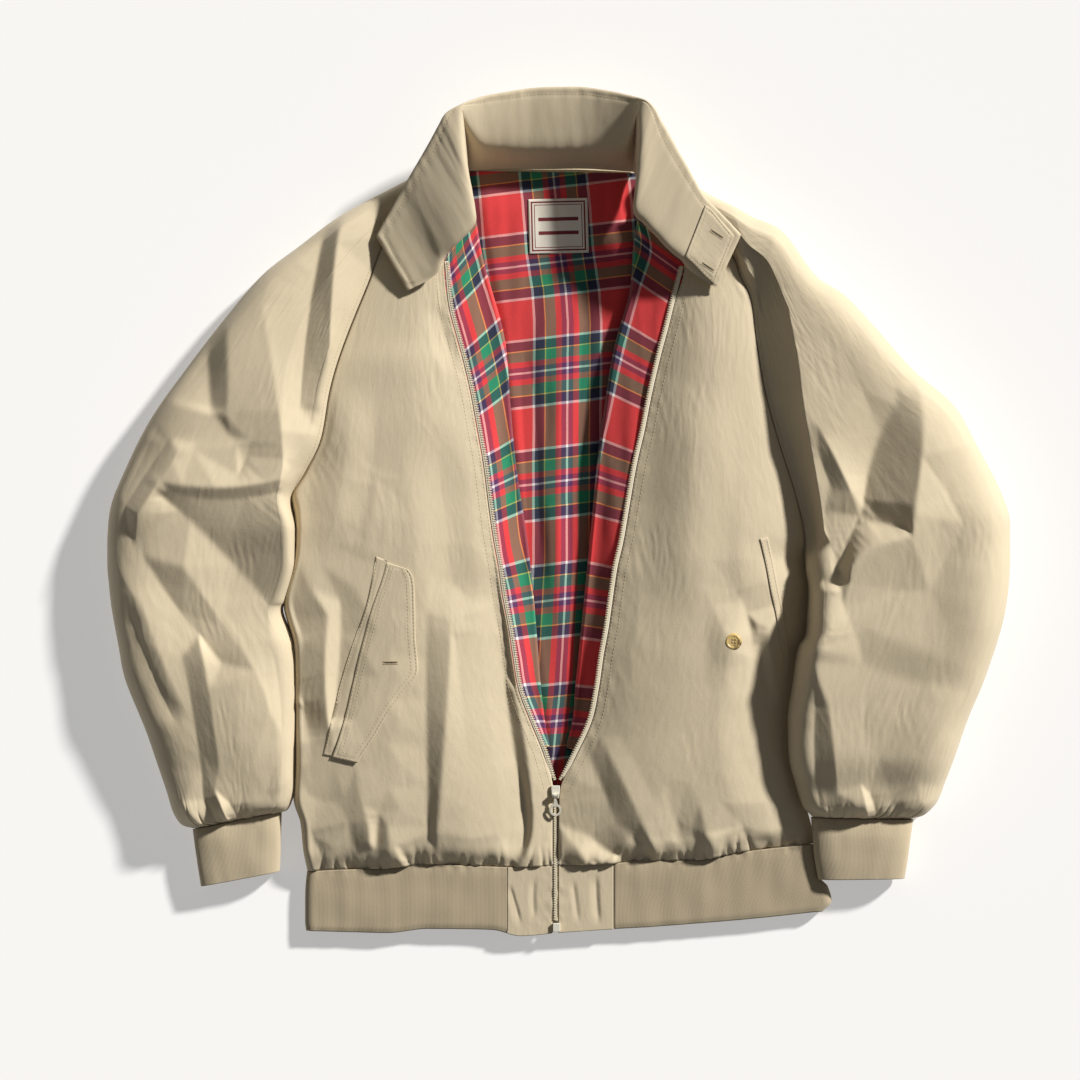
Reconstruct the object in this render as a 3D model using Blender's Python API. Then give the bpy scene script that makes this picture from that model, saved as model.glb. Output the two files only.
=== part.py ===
"""Harrington jacket laid out flat, worn side up: raglan sleeves, rib cuffs and hem, tartan lining.

Left and right are as seen from above with the collar at the top (+Y). Millimetres, turned to metres
when a mesh is made. The underside of the laid garment is flat on z = 0.
"""
import math

import bmesh
import bpy
import numpy as np
from mathutils import Vector
from mathutils.bvhtree import BVHTree

MM = 0.001

# Cloth thicknesses and the gaps that keep sewn pieces apart.
SHELL = 1.6
BACK_SHELL = 2.0
LINING = 1.0
RIB = 2.6
COLLAR = 2.6
SEAM_GAP = 0.4
LAYER_GAP = 0.5

# Heights of the laid garment.
SIDE_EDGE_Z = 4.0        # upper face of a front where it turns down onto the back at the side
ROLL = 11.0              # how far in from its edge a sleeve's rolled side reaches
HEM_TOP = 13.0           # upper face of the hem rib
ZIP_WIDTH = 4.6          # one side of the open zip, tape and teeth
ZIP_THICK = 2.2

SLEEVE_COLUMNS = ("outer_x", "outer_y", "inner_x", "inner_y", "seam_z", "loft", "closed")
# Sections of a sleeve from the neck to the cuff; inner_* is the raglan seam down to the underarm,
# seam_z its height, closed 0 where the section is open to the body and 1 where it is a tube.
SLEEVE_LEFT = [
    (-94.4, 305.4, -97, 277.5, 24, 26, 0),
    (-118.8, 296.7, -125.7, 260.1, 24, 27, 0),
    (-150.1, 281, -150.1, 237.5, 25, 30, 0),
    (-190.1, 259.3, -165.7, 198.4, 26, 36, 0),
    (-224.9, 233.2, -181.4, 159.2, 27, 42, 0),
    (-258, 207.1, -191.8, 129.6, 26, 48, 0),
    (-290.1, 169.7, -198.8, 102.7, 24, 51, 0),
    (-324.9, 124.4, -205.8, 63.5, 20, 54, 0),
    (-355.4, 80.9, -218.8, 35.7, 14, 56, 0),
    (-377.1, 37.4, -231, 11.3, 7, 57, 0),
    (-390.2, 2.6, -231.9, -14.8, 7, 56, 1),
    (-392.8, -40.9, -231.9, -40.9, 9, 52, 1),
    (-391.1, -65.2, -242.3, -74, 10, 50, 1),
    (-388.5, -86.1, -247.5, -84.4, 11, 50, 1),
    (-383.2, -114.8, -232.7, -115.7, 11, 50, 1),
    (-377.1, -145.3, -231, -141.8, 11, 49, 1),
    (-359.7, -188.8, -231.9, -181.8, 11, 46, 1),
    (-349.3, -219.2, -232.7, -213.2, 11, 43, 1),
    (-341.5, -242.7, -233.6, -239.2, 11, 40, 1),
    (-336.3, -260.1, -237.1, -252.3, 10, 37, 1),
    (-329.3, -271.4, -239.7, -257.5, 10, 31, 1),
    (-319.7, -274.9, -241.4, -259.3, 9, 25, 1),
]
SLEEVE_RIGHT = [
    (90.9, 307.1, 90.9, 281, 24, 26, 0),
    (126.6, 281, 123.1, 250.6, 24, 27, 0),
    (153.6, 267.1, 150.1, 225.3, 25, 30, 0),
    (169.2, 258.4, 158.8, 204.4, 25, 36, 0),
    (196.2, 244.5, 167.5, 185.3, 24, 42, 0),
    (224, 207.1, 172.7, 146.2, 22, 50, 0),
    (249.3, 189.7, 180.5, 102.7, 20, 53, 0),
    (274.5, 163.6, 192.7, 59.2, 17, 56, 0),
    (308.4, 125.3, 206.6, 15.7, 12, 58, 0),
    (344.1, 94, 215.3, -23.5, 7, 58, 0),
    (365, 57.4, 219.7, -45.2, 8, 57, 1),
    (384.1, 20, 222.3, -67, 10, 55, 1),
    (392.8, -9.6, 221.4, -86.1, 11, 54, 1),
    (392.8, -40.9, 219.7, -106.1, 12, 53, 1),
    (387.6, -89.6, 212.7, -119.2, 12, 52, 1),
    (371.9, -140.9, 207.5, -154, 12, 50, 1),
    (356.3, -179.2, 204, -180.1, 12, 48, 1),
    (345, -212.3, 204.9, -212.3, 12, 45, 1),
    (337.1, -234, 211, -236.6, 11, 42, 1),
    (330.2, -251.4, 217.1, -254.9, 10, 38, 1),
    (319.7, -262.7, 223.2, -261.9, 10, 32, 1),
    (309.3, -266.2, 225.8, -264.5, 9, 26, 1),
]
RAGLAN_ROWS = 10     # a sleeve's sections that are open to the body
ZIP_TOP_ROW = 2      # the row of a front's table where the neck ends and the zip begins

CUFF_COLUMNS = ("outer_x", "outer_y", "inner_x", "inner_y", "top")
# Rings of a cuff from the sleeve to the hand; top is the height of its upper face.
CUFF_LEFT = [
    (-318.9, -275.8, -241.4, -260.1, 23),
    (-317.1, -289.7, -241.9, -275.8, 24),
    (-314.5, -308, -242.3, -294.1, 23),
    (-311.9, -325.4, -243.2, -312.3, 21),
]
CUFF_RIGHT = [
    (309.3, -267.1, 225.8, -265.4, 24),
    (306.7, -284.5, 227.1, -281, 26),
    (304.5, -301.9, 228.4, -299.3, 25),
    (301.9, -318.4, 231.9, -319.3, 23),
]

FRONT_COLUMNS = ("side_x", "side_y", "zip_x", "zip_y", "zip_z", "loft")
# Stations of a front from the neck to the hem. Down to the underarm the side is the raglan seam, so
# its place comes from the sleeve's table and the first two columns are left at nought.
FRONT_LEFT = [
    (0, 0, -84, 274.9, 24, 26),
    (0, 0, -89.2, 247.9, 25, 27),
    (0, 0, -99.6, 218.4, 26, 29),
    (0, 0, -96.1, 181, 26, 31),
    (0, 0, -88.3, 150.5, 26, 34),
    (0, 0, -83.1, 131.4, 26, 38),
    (0, 0, -77, 105.3, 26, 39),
    (0, 0, -71.8, 76.6, 26, 40),
    (0, 0, -65.7, 41.8, 26, 40),
    (0, 0, -61.3, 7, 25, 40),
    (-229.7, -14.8, -57, -23.5, 25, 40),
    (-229.2, -40.9, -52.6, -47.9, 25, 40),
    (-240.6, -75.7, -49.2, -72.2, 24, 40),
    (-225.8, -110.5, -43.9, -100, 24, 39),
    (-226.6, -129.6, -40.5, -123.5, 23, 38),
    (-228.4, -150.5, -35.2, -154, 22, 37),
    (-216.2, -180.1, -24.8, -181.8, 20, 36),
    (-225.8, -213.2, -13.5, -209.7, 18, 34),
    (-231.9, -247.1, -4.8, -240.1, 16, 32),
    (-225.8, -270.6, -5.2, -267.1, 15, 29),
    (-223.2, -294.9, -5.2, -291.4, 15, 25),
    (-219.7, -312.3, -5.2, -307.1, 14, 16),
]
FRONT_RIGHT = [
    (0, 0, 77.9, 274.1, 24, 26),
    (0, 0, 90, 247.9, 25, 27),
    (0, 0, 109.2, 214, 26, 29),
    (0, 0, 101.4, 183.6, 26, 31),
    (0, 0, 95.3, 159.2, 26, 34),
    (0, 0, 89.2, 136.6, 26, 36),
    (0, 0, 81.3, 102.7, 26, 36),
    (0, 0, 75.3, 72.2, 26, 36),
    (0, 0, 68.3, 41.8, 26, 36),
    (0, 0, 62.2, 7, 25, 36),
    (218.8, -45.2, 57, -23.5, 25, 36),
    (221.4, -67, 51.8, -46.1, 25, 36),
    (220.5, -86.1, 48.3, -68.7, 24, 36),
    (218.8, -106.1, 43.9, -100, 24, 36),
    (211.8, -119.2, 39.6, -123.5, 23, 36),
    (206.6, -154, 35.2, -154, 22, 35),
    (203.1, -180.1, 29.1, -181.8, 20, 34),
    (204, -212.3, 15.2, -212.3, 18, 33),
    (210.1, -236.6, 1.3, -240.1, 16, 31),
    (216.2, -254.9, 0, -267.1, 15, 29),
    (221.4, -274.1, 0, -288.8, 15, 25),
    (224.9, -288.8, 0, -305.4, 14, 16),
]

HEM_COLUMNS = ("x", "seam_y", "edge_y")
# Where the hem rib's seam and its lower edge run.
HEM_LINE = [
    (-219.7, -312.3, -364.5),
    (-190.1, -310.6, -365.4),
    (-149.2, -309.7, -366.3),
    (-114.4, -306.2, -362.8),
    (-56.1, -308, -363.7),
    (-33.5, -308.9, -368.9),
    (-2.2, -307.1, -366.3),
    (36.1, -306.2, -363.7),
    (79.6, -302.8, -361.1),
    (115.3, -302.8, -358.4),
    (157.9, -295.8, -355),
    (192.7, -291.4, -351.5),
    (224.9, -288.8, -348),
]
PLACKET_LEFT_X = -44.8   # where the rib ends and the plain cloth beside the zip begins
PLACKET_RIGHT_X = 48.3
CHAIN_X = -2.6           # middle of the closed zip
CHAIN_WIDTH = 4.4

HEM_END_COLUMNS = ("depth", "left_x", "right_x")
# The hem rib's two rolled ends, by the share of its depth from seam to edge.
HEM_ENDS = [
    (0.0, -219.7, 224),
    (0.25, -221, 225.8),
    (0.5, -221.4, 228.4),
    (0.62, -221.4, 235.3),
    (0.85, -221.4, 238.8),
    (1.0, -220.5, 231),
]

FOLD_COLUMNS = ("x0", "y0", "x1", "y1", "x2", "y2", "rise", "left", "right", "sharp", "fade")
# Folds and gathers: a line through three places, how high it stands (below nought: a trough), how far
# it spreads to the left and right of its way, how sharp its crest is and the share it fades over.
FOLDS_SLEEVE_LEFT = [
    (-260.6, 198.4, -243.2, 112.2, -231, -14.8, 9, 24, 46, 0.8, 0.15),
    (-187.5, 253.2, -195.3, 167.9, -218.8, 85.3, -10, 12, 24, 0.5, 0.15),
    (-292.8, 166.2, -299.7, 124.4, -313.6, 74, -11, 12, 16, 0.6, 0.2),
    (-307.5, 154.9, -339.7, 102.7, -374.5, 7, 7, 18, 16, 0.6, 0.2),
    (-303.2, 84.4, -336.3, 62.6, -376.3, 20, -9, 10, 10, 0.6, 0.2),
    (-347.6, 29.6, -298.8, 35.7, -252.7, 27, 7, 24, 9, 0.8, 0.15),
    (-333.6, 13.1, -287.5, -7.8, -237.1, -2.6, -13, 22, 24, 0.3, 0.2),
    (-345, 22.6, -310.2, -20.9, -258, -67, 10, 10, 46, 0.8, 0.15),
    (-268.4, -58.3, -244.9, -85.3, -231.9, -132.2, 8, 8, 40, 0.7, 0.3),
    (-376.3, -67.9, -351.9, -134.8, -327.6, -187.1, -4, 14, 20, 0.4, 0.2),
    (-277.1, -84.4, -275.4, -162.7, -280.6, -236.6, 5, 40, 60, 0.2, 0.3),
    (-315.4, -249.7, -311.9, -261.9, -308.4, -274.1, -6, 8, 8, 0.4, 0.3),
    (-299.7, -247.1, -295.4, -259.3, -291, -269.7, -7, 8, 8, 0.4, 0.3),
    (-280.6, -249.7, -278, -258.4, -276.2, -266.2, -4, 7, 7, 0.4, 0.3),
    (-258, -247.1, -256.2, -254.9, -255.3, -262.7, -4, 7, 7, 0.4, 0.3),
]
FOLDS_SLEEVE_RIGHT = [
    (194.4, 237.5, 206.6, 129.6, 225.8, -7.8, 13, 70, 26, 0.8, 0.15),
    (224, 7, 229.2, -36.5, 243.2, -63.5, 8, 26, 14, 0.8, 0.2),
    (318, 119.2, 301.5, 63.5, 269.3, -4.3, -17, 20, 24, 0.5, 0.2),
    (225.8, -5.2, 249.3, -40.9, 305.8, -15.7, 10, 10, 34, 0.8, 0.15),
    (228.4, 68.7, 241.4, 41.8, 252.7, 16.5, -5, 9, 9, 0.5, 0.2),
    (260.6, -119.2, 295.4, -120.9, 331.9, -132.2, -11, 12, 14, 0.4, 0.2),
    (250.1, -101.8, 292.8, -100, 335.4, -125.3, 7, 18, 9, 0.8, 0.2),
    (250.1, -67.9, 249.3, -89.6, 251.9, -114.8, 5, 12, 9, 0.7, 0.2),
    (223.2, -166.2, 225.8, -188.8, 230.1, -214.9, -5, 8, 8, 0.5, 0.2),
    (362.4, 37.4, 371.1, -40.9, 340.6, -145.3, 5, 40, 50, 0.2, 0.3),
    (266.7, -237.5, 269.3, -250.6, 273.6, -263.6, -8, 9, 9, 0.4, 0.3),
    (291, -239.2, 292.8, -251.4, 294.5, -264.5, -8, 9, 8, 0.4, 0.3),
    (243.2, -245.3, 244.9, -254.9, 246.6, -264.5, -5, 8, 8, 0.4, 0.3),
]
FOLDS_FRONT_LEFT = [
    (-92.7, 133.1, -65.7, -5.2, -48.3, -140.9, -3, 7, 9, 0.5, 0.1),
    (-48.3, -140.9, -32.6, -207.9, -30, -308.9, -3, 8, 9, 0.5, 0.1),
    (-108.3, 185.3, -99.6, 154.9, -89.2, 119.2, -2, 10, 16, 0.3, 0.3),
    (-239.7, -80.9, -226.6, -96.6, -205.8, -110.5, -6, 12, 10, 0.5, 0.25),
    (-228.4, -154, -217.9, -173.1, -195.3, -190.5, -5, 12, 10, 0.5, 0.25),
    (-179.7, 115.7, -185.7, 37.4, -200.5, -40.9, 4, 26, 30, 0.2, 0.3),
    (-111.8, 80.9, -97.9, -6.1, -89.2, -110.5, -3, 26, 30, 0.2, 0.3),
    (-216.2, -274.1, -210.1, -293.2, -202.3, -312.3, -6, 9, 9, 0.4, 0.3),
    (-182.3, -260.1, -179.7, -284.5, -169.2, -310.6, -11, 11, 12, 0.5, 0.2),
    (-177.9, -232.3, -173.6, -262.7, -164.9, -291.4, 6, 10, 14, 0.6, 0.2),
    (-150.1, -262.7, -149.2, -284.5, -147.5, -310.6, -5, 9, 9, 0.4, 0.3),
    (-106.6, -119.2, -106.6, -206.2, -111.8, -308.9, -4, 14, 9, 0.4, 0.2),
    (-90, -282.8, -88.3, -294.9, -87.4, -308.9, -4, 8, 8, 0.4, 0.3),
    (-59.6, -281, -58.7, -294.9, -57.9, -308.9, -4, 8, 8, 0.4, 0.3),
]
FOLDS_FRONT_RIGHT = [
    (150.1, 227.1, 157.9, 206.2, 168.3, 185.3, 3, 8, 10, 0.5, 0.2),
    (123.1, 115.7, 114.4, 11.3, 109.2, -93.1, 4, 40, 40, 0.2, 0.3),
    (182.3, -107, 179.7, -154, 189.2, -190.5, -3, 12, 12, 0.4, 0.3),
    (24.8, -210.5, 37.8, -245.3, 57, -288.8, -8, 11, 14, 0.5, 0.2),
    (16.1, -289.7, 33.5, -297.5, 50.9, -295.8, 4, 10, 10, 0.4, 0.3),
    (71.8, -253.2, 82.2, -277.5, 89.2, -301.9, -7, 9, 10, 0.5, 0.2),
    (95.3, -260.1, 99.6, -281, 102.2, -302.8, -6, 8, 9, 0.5, 0.2),
    (117.9, -267.1, 119.6, -282.8, 121.4, -301.9, -5, 8, 8, 0.4, 0.3),
    (159.6, -262.7, 161.4, -277.5, 163.1, -295.8, -6, 9, 8, 0.5, 0.3),
    (189.2, -262.7, 190.1, -277.5, 191.8, -291.4, -4, 8, 8, 0.4, 0.3),
]

# Creases of the plain cloth beside the zip.
FOLDS_PLACKET = [
    (-43.1, -312.3, -37, -336.7, -31.8, -364.5, -3, 8, 8, 0.4, 0.2),
    (32.6, -312.3, 34.4, -336.7, 33.5, -361.1, -3, 8, 7, 0.4, 0.2),
]

COLLAR_COLUMNS = ("seam_x", "seam_y", "seam_z", "roll_x", "roll_y", "roll_z",
                  "edge_x", "edge_y", "edge_z")
# Stations of the collar from its left end round the back of the neck to its right end: the neck seam,
# the roll where it turns over, and the outer edge.
COLLAR_LINE = [
    (-130.9, 192.3, 36, -136.2, 201.8, 37, -157.9, 239.2, 38),
    (-115.3, 200.1, 37, -120.5, 209.7, 39, -147.5, 257.5, 41),
    (-104, 208.8, 38, -108.3, 218.4, 42, -137.9, 274.1, 44),
    (-99.6, 220.1, 36, -101.4, 228.8, 46.5, -129.2, 288.8, 48),
    (-90, 239.2, 32, -86.6, 239.2, 51, -119.6, 304.5, 52),
    (-79.6, 260.1, 27, -73.5, 256.6, 53, -110.9, 319.3, 56),
    (-79.6, 279.3, 17, -76.1, 278.4, 54, -104, 331.5, 59),
    (-80.5, 297.5, 8, -80.5, 305.4, 56, -97, 342.8, 61),
    (-79.6, 300.1, 4, -83.1, 340.2, 55, -85.7, 349.7, 60),
    (-66.6, 301, 4, -68.3, 337.6, 36, -68.3, 357.6, 55),
    (-46.5, 301.9, 4, -47.4, 337.6, 30, -46.5, 362.8, 50),
    (-16.1, 301.9, 4, -17.8, 338.4, 27, -20.4, 367.1, 46),
    (14.4, 301.9, 4, 14.4, 338.4, 27, 14.4, 368, 46),
    (40.5, 301, 4, 41.3, 335.8, 30, 44.8, 363.7, 50),
    (57.9, 300.1, 4, 58.7, 334.9, 38, 64.8, 358.4, 55),
    (65.7, 299.3, 4, 67.4, 340.2, 53, 75.3, 354.1, 60),
    (67.4, 297.5, 8, 69.2, 314.1, 55, 82.2, 348, 59),
    (70, 283.6, 16, 68.3, 288.8, 53, 87.4, 338.4, 57),
    (71.8, 261, 26, 66.6, 265.4, 50, 94.4, 327.1, 54),
    (79.6, 251.4, 30, 74.4, 255.8, 48, 102.2, 313.2, 51),
    (89.2, 241, 32, 84.8, 245.3, 46, 110.1, 300.1, 49),
    (100.5, 227.9, 32, 97, 232.3, 45, 117.9, 286.2, 47),
    (109.2, 216.6, 35, 109.2, 224.5, 43.5, 125.7, 273.2, 45),
    (113.5, 209.7, 37, 117.9, 219.2, 41, 137, 261.9, 42),
    (124.8, 201.8, 37, 128.3, 210.5, 39, 148.3, 250.6, 40),
    (137, 194, 36, 140.5, 202.7, 37, 157.9, 240.1, 38),
]
RULED_COLUMNS = ("left_x", "left_y", "right_x", "right_y")
# The collar's buttoning tab, by lines across it.
TAB = [
    (126.6, 265.4, 109.2, 221),
    (132.7, 261, 115.3, 215.8),
    (138.8, 254, 121.4, 209.7),
    (144.9, 247.1, 127.5, 203.6),
    (151.8, 239.2, 134.4, 197.5),
]
TAB_THICK = 1.2

LINING_COLUMNS = ("zip_x", "zip_y", "zip_z", "fold_x", "fold_y", "fold_z")
# The lining that shows inside each front, from the zip to the fold it turns under at.
LINING_LEFT = [
    (-92.7, 258.4, 21, -75.3, 272.3, 12),
    (-99.6, 218.4, 21, -71.8, 255.8, 12),
    (-97.9, 192.3, 21, -64.8, 218.4, 12),
    (-84.8, 140.1, 21, -47.4, 154.9, 11),
    (-73.5, 87.9, 21, -42.2, 98.3, 11),
    (-64.8, 33.1, 22, -37, 41.8, 10),
    (-56.1, -33.9, 21, -28.3, -14.8, 10),
    (-49.2, -72.2, 20, -22.2, -67, 10),
    (-40.5, -123.5, 18, -17.8, -119.2, 9),
    (-35.2, -154, 16.5, -15.2, -152.2, 9),
    (-24.8, -181.8, 13.5, -11.7, -181.8, 8),
    (-16.1, -204.4, 10.5, -7.4, -204.4, 8),
]
LINING_RIGHT = [
    (91.8, 254.9, 21, 72.6, 275.8, 14),
    (109.2, 213.2, 21, 65.7, 237.5, 15),
    (102.2, 185.3, 22, 62.2, 194, 15),
    (89.2, 137.5, 22, 48.3, 143.6, 15),
    (77.9, 85.3, 22, 39.6, 89.6, 14),
    (67.4, 37.4, 22, 33.5, 41.8, 14),
    (55.2, -29.6, 21, 27.4, -23.5, 13),
    (48.3, -68.7, 20, 23.1, -67, 12),
    (39.6, -123.5, 18.5, 17.8, -120.9, 11),
    (35.2, -154, 17, 14.4, -154, 10),
    (29.1, -181.8, 14, 12.6, -178.3, 9),
    (16.1, -207.9, 11, 6.5, -204.4, 8),
]
LINING_SEAM_ROW = 4    # where the left strip is joined
# The lining of the back between the two fronts, by lines across it from the neck down.
LINING_BACK = [
    (-78.7, 299.3, 67.4, 297.5),
    (-84, 268, 74.4, 268),
    (-77, 220.1, 81.3, 218.4),
    (-64.8, 154.9, 65.7, 154.9),
    (-59.6, 98.3, 57, 98.3),
    (-52.6, 37.4, 50, 37.4),
    (-43.9, -19.1, 43.1, -19.1),
    (-37, -75.7, 37.8, -75.7),
    (-33.5, -127.9, 32.6, -127.9),
    (-28.3, -180.1, 25.7, -180.1),
    (-21.3, -241, 15.2, -241),
]
FOLDS_LINING_BACK = [
    (-33.5, 185.3, -24.8, 54.8, -16.1, -110.5, -3, 14, 14, 0.3, 0.3),
    (1.3, 159.2, -0.4, 28.7, -2.2, -162.7, 3, 12, 12, 0.3, 0.3),
    (29.1, 220.1, 23.1, 115.7, 15.2, -6.1, -3, 12, 12, 0.3, 0.3),
]
LABEL_CENTRE = (0, 251)
LABEL_SIZE = (52.0, 48.0)
LABEL_TURN = 1.5

# The pocket flap and the pockets' welts, by lines across them.
FLAP = [
    (-148.3, -42.6, -130.1, -48.7),
    (-152.7, -58.3, -125.3, -57.4),
    (-161.4, -82.7, -124, -82.7),
    (-167.9, -106.1, -123.5, -108.8),
    (-174.4, -131.4, -121.4, -135.7),
    (-179.2, -152.2, -132.7, -153.1),
    (-184, -173.1, -146.6, -172.3),
    (-189.2, -192.3, -157.9, -191.4),
    (-195.8, -211.4, -174.4, -216.6),
]
WELT_LEFT = [
    (-157.9, -37.4, -149.6, -41.8),
    (-161.4, -58.3, -153.7, -58.3),
    (-167, -82.7, -162.4, -82.7),
    (-175.3, -106.1, -169, -106.1),
    (-184, -131.4, -175.5, -131.4),
    (-190.1, -152.2, -180.3, -152.2),
    (-195.3, -173.1, -185, -173.1),
    (-199.7, -192.3, -190.3, -192.3),
    (-204, -209.7, -196.8, -211.4),
]
WELT_RIGHT = [
    (174.4, -22.6, 181.4, -20.9),
    (179.7, -45.2, 186.6, -43.5),
    (184, -67.9, 191, -66.1),
    (188.4, -87, 195.3, -85.3),
    (191.8, -106.1, 198.4, -104.4),
    (196.2, -124.4, 201.4, -123.5),
    (198.8, -141.8, 202.3, -141.8),
]
FLAP_THICK = 1.6
WELT_THICK = 1.2

BUTTON_CENTRE = (150.9, -111.4)
BUTTON_THICK = 3.2
BUTTON_HOLE = 0.9        # radius of a thread hole
BUTTON_PITCH = 1.9       # from the button's centre to a hole's
BUTTON_COLUMNS = ("radius", "share")
# The button's turned profile from its dished face over the rim; share is of its thickness.
BUTTON_PROFILE = [
    (4.4, 0.9),
    (5.0, 1.0),
    (5.9, 1.0),
    (6.9, 0.75),
    (7.5, 0.4),
    (7.3, 0.1),
    (5.6, 0.0),
]
BUTTON_SIDES = 24

SLIDER_Y = -242.7
SLIDER_SIZE = (8.0, 11.0, 2.4)
SLIDER_BASE = 17.4       # underside of the slider's body
BRIDGE_Y = -245.3
BRIDGE_RISE = 4.9        # from the slider's underside to the middle of its bar
BRIDGE_BAR = 0.8         # radius
PULL_LENGTH = 18.5
PULL_RING = 5.2          # outer radius of the pull's ring
PULL_HOLE = 3.6
PULL_THICK = 1.5
PULL_BARREL = 2.0        # outer radius of the barrel round the bar
PULL_EYE = 1.2
PULL_DROOP = 9.0         # degrees that the pull hangs down from level
RETAINER_CENTRE = (-1.7, -361.1)
RETAINER_SIZE = (6.4, 7.5, 2.6)

COLOURS = {
    "cotton": ((0.52, 0.45, 0.32, 1.0), 0.85, 0.0),
    "rib": ((0.46, 0.38, 0.27, 1.0), 0.9, 0.0),
    "tartan": ((0.52, 0.05, 0.05, 1.0), 0.9, 0.0),
    "label": ((0.80, 0.74, 0.64, 1.0), 0.8, 0.0),
    "zip_tape": ((0.62, 0.52, 0.34, 1.0), 0.7, 0.2),
    "brass": ((0.80, 0.62, 0.34, 1.0), 0.3, 1.0),
    "horn": ((0.62, 0.50, 0.28, 1.0), 0.35, 0.0),
}


def start_empty():
    """Remove every object the new file begins with."""
    for thing in list(bpy.data.objects):
        bpy.data.objects.remove(thing, do_unlink=True)


def finish(name):
    """A material of this object's own, from the named colour."""
    material = bpy.data.materials.new(name)
    material.use_nodes = True
    colour, roughness, metallic = COLOURS[name.split("__")[0]]
    shader = material.node_tree.nodes["Principled BSDF"]
    shader.inputs["Base Color"].default_value = colour
    shader.inputs["Roughness"].default_value = roughness
    shader.inputs["Metallic"].default_value = metallic
    return material


def add_object(name, bm, colour, smooth=True):
    """Turn a closed bmesh, in millimetres, into a named object in metres."""
    bmesh.ops.recalc_face_normals(bm, faces=bm.faces)
    bmesh.ops.scale(bm, vec=(MM, MM, MM), verts=bm.verts)
    mesh = bpy.data.meshes.new(name)
    bm.to_mesh(mesh)
    bm.free()
    mesh.polygons.foreach_set("use_smooth", [smooth] * len(mesh.polygons))
    thing = bpy.data.objects.new(name, mesh)
    bpy.context.scene.collection.objects.link(thing)
    mesh.materials.append(finish(colour + "__" + name))
    return thing


def column(table, names, name):
    """One named column of a table."""
    return np.array([row[names.index(name)] for row in table], float)


def places(table, names, stem):
    """A table's places of one kind, such as its seam's: x, y and, where it has one, z."""
    axes = [stem + "_" + axis for axis in "xyz" if stem + "_" + axis in names]
    return np.column_stack([column(table, names, name) for name in axes])


def arch(q, power=2.0):
    """From 0 at an edge to 1 at its reach, upright at the edge and level at the top."""
    q = np.clip(q, 0.0, 1.0)
    return (1.0 - (1.0 - q) ** power) ** (1.0 / power)


def swell(q):
    """From 0 at an edge to 1 at its reach, sloping away from the edge."""
    return np.sin(np.clip(q, 0.0, 1.0) * math.pi / 2)


def ease(q):
    """From 0 to 1, level at both ends."""
    q = np.clip(q, 0.0, 1.0)
    return q * q * (3.0 - 2.0 * q)


def relief(x, y, folds):
    """Height that a table of folds adds at plan places."""
    total = np.zeros_like(x)
    steps = 10
    share_at = np.linspace(0.0, 1.0, steps + 1)
    for row in folds:
        fold = dict(zip(FOLD_COLUMNS, row))
        weights = ((1 - share_at) * (1 - 2 * share_at), 4 * share_at * (1 - share_at),
                   share_at * (2 * share_at - 1))
        way_x = sum(w * fold[k] for w, k in zip(weights, ("x0", "x1", "x2")))
        way_y = sum(w * fold[k] for w, k in zip(weights, ("y0", "y1", "y2")))
        nearest = np.full(x.shape, 1e9)
        side = np.zeros_like(x)
        share = np.zeros_like(x)
        for k in range(steps):
            dx, dy = way_x[k + 1] - way_x[k], way_y[k + 1] - way_y[k]
            along = np.clip(((x - way_x[k]) * dx + (y - way_y[k]) * dy) / (dx * dx + dy * dy), 0, 1)
            off_x, off_y = x - way_x[k] - along * dx, y - way_y[k] - along * dy
            far = np.hypot(off_x, off_y)
            nearer = far < nearest
            nearest = np.where(nearer, far, nearest)
            side = np.where(nearer, dx * off_y - dy * off_x, side)
            share = np.where(nearer, (k + along) / steps, share)
        q = np.clip(nearest / np.where(side > 0, fold["left"], fold["right"]), 0.0, 1.0)
        shape = fold["sharp"] * (1 - q) ** 2 + (1 - fold["sharp"]) * (1 - q * q) ** 2
        total += fold["rise"] * shape * ease(share / fold["fade"]) * ease((1 - share) / fold["fade"])
    return total


def shifted(line, amount):
    """A plan line moved sideways, to the left of its way where amount is above nought."""
    way = np.gradient(line, axis=0)
    way /= np.linalg.norm(way, axis=1)[:, None]
    return line + amount * np.stack((-way[:, 1], way[:, 0]), axis=1)


def grid_normals(grid, wrapped=None):
    """Unit normals at a grid's places; rows marked wrapped close on themselves."""
    down = np.gradient(grid, axis=0)
    across = np.gradient(grid, axis=1)
    if wrapped is not None:
        for i in np.nonzero(wrapped)[0]:
            across[i, 0] = across[i, -1] = (grid[i, 1] - grid[i, -2]) / 2
            down[i, 0] = down[i, -1] = (down[i, 0] + down[i, -1]) / 2
    normal = np.cross(down, across)
    return normal / np.maximum(np.linalg.norm(normal, axis=2), 1e-9)[:, :, None]


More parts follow.
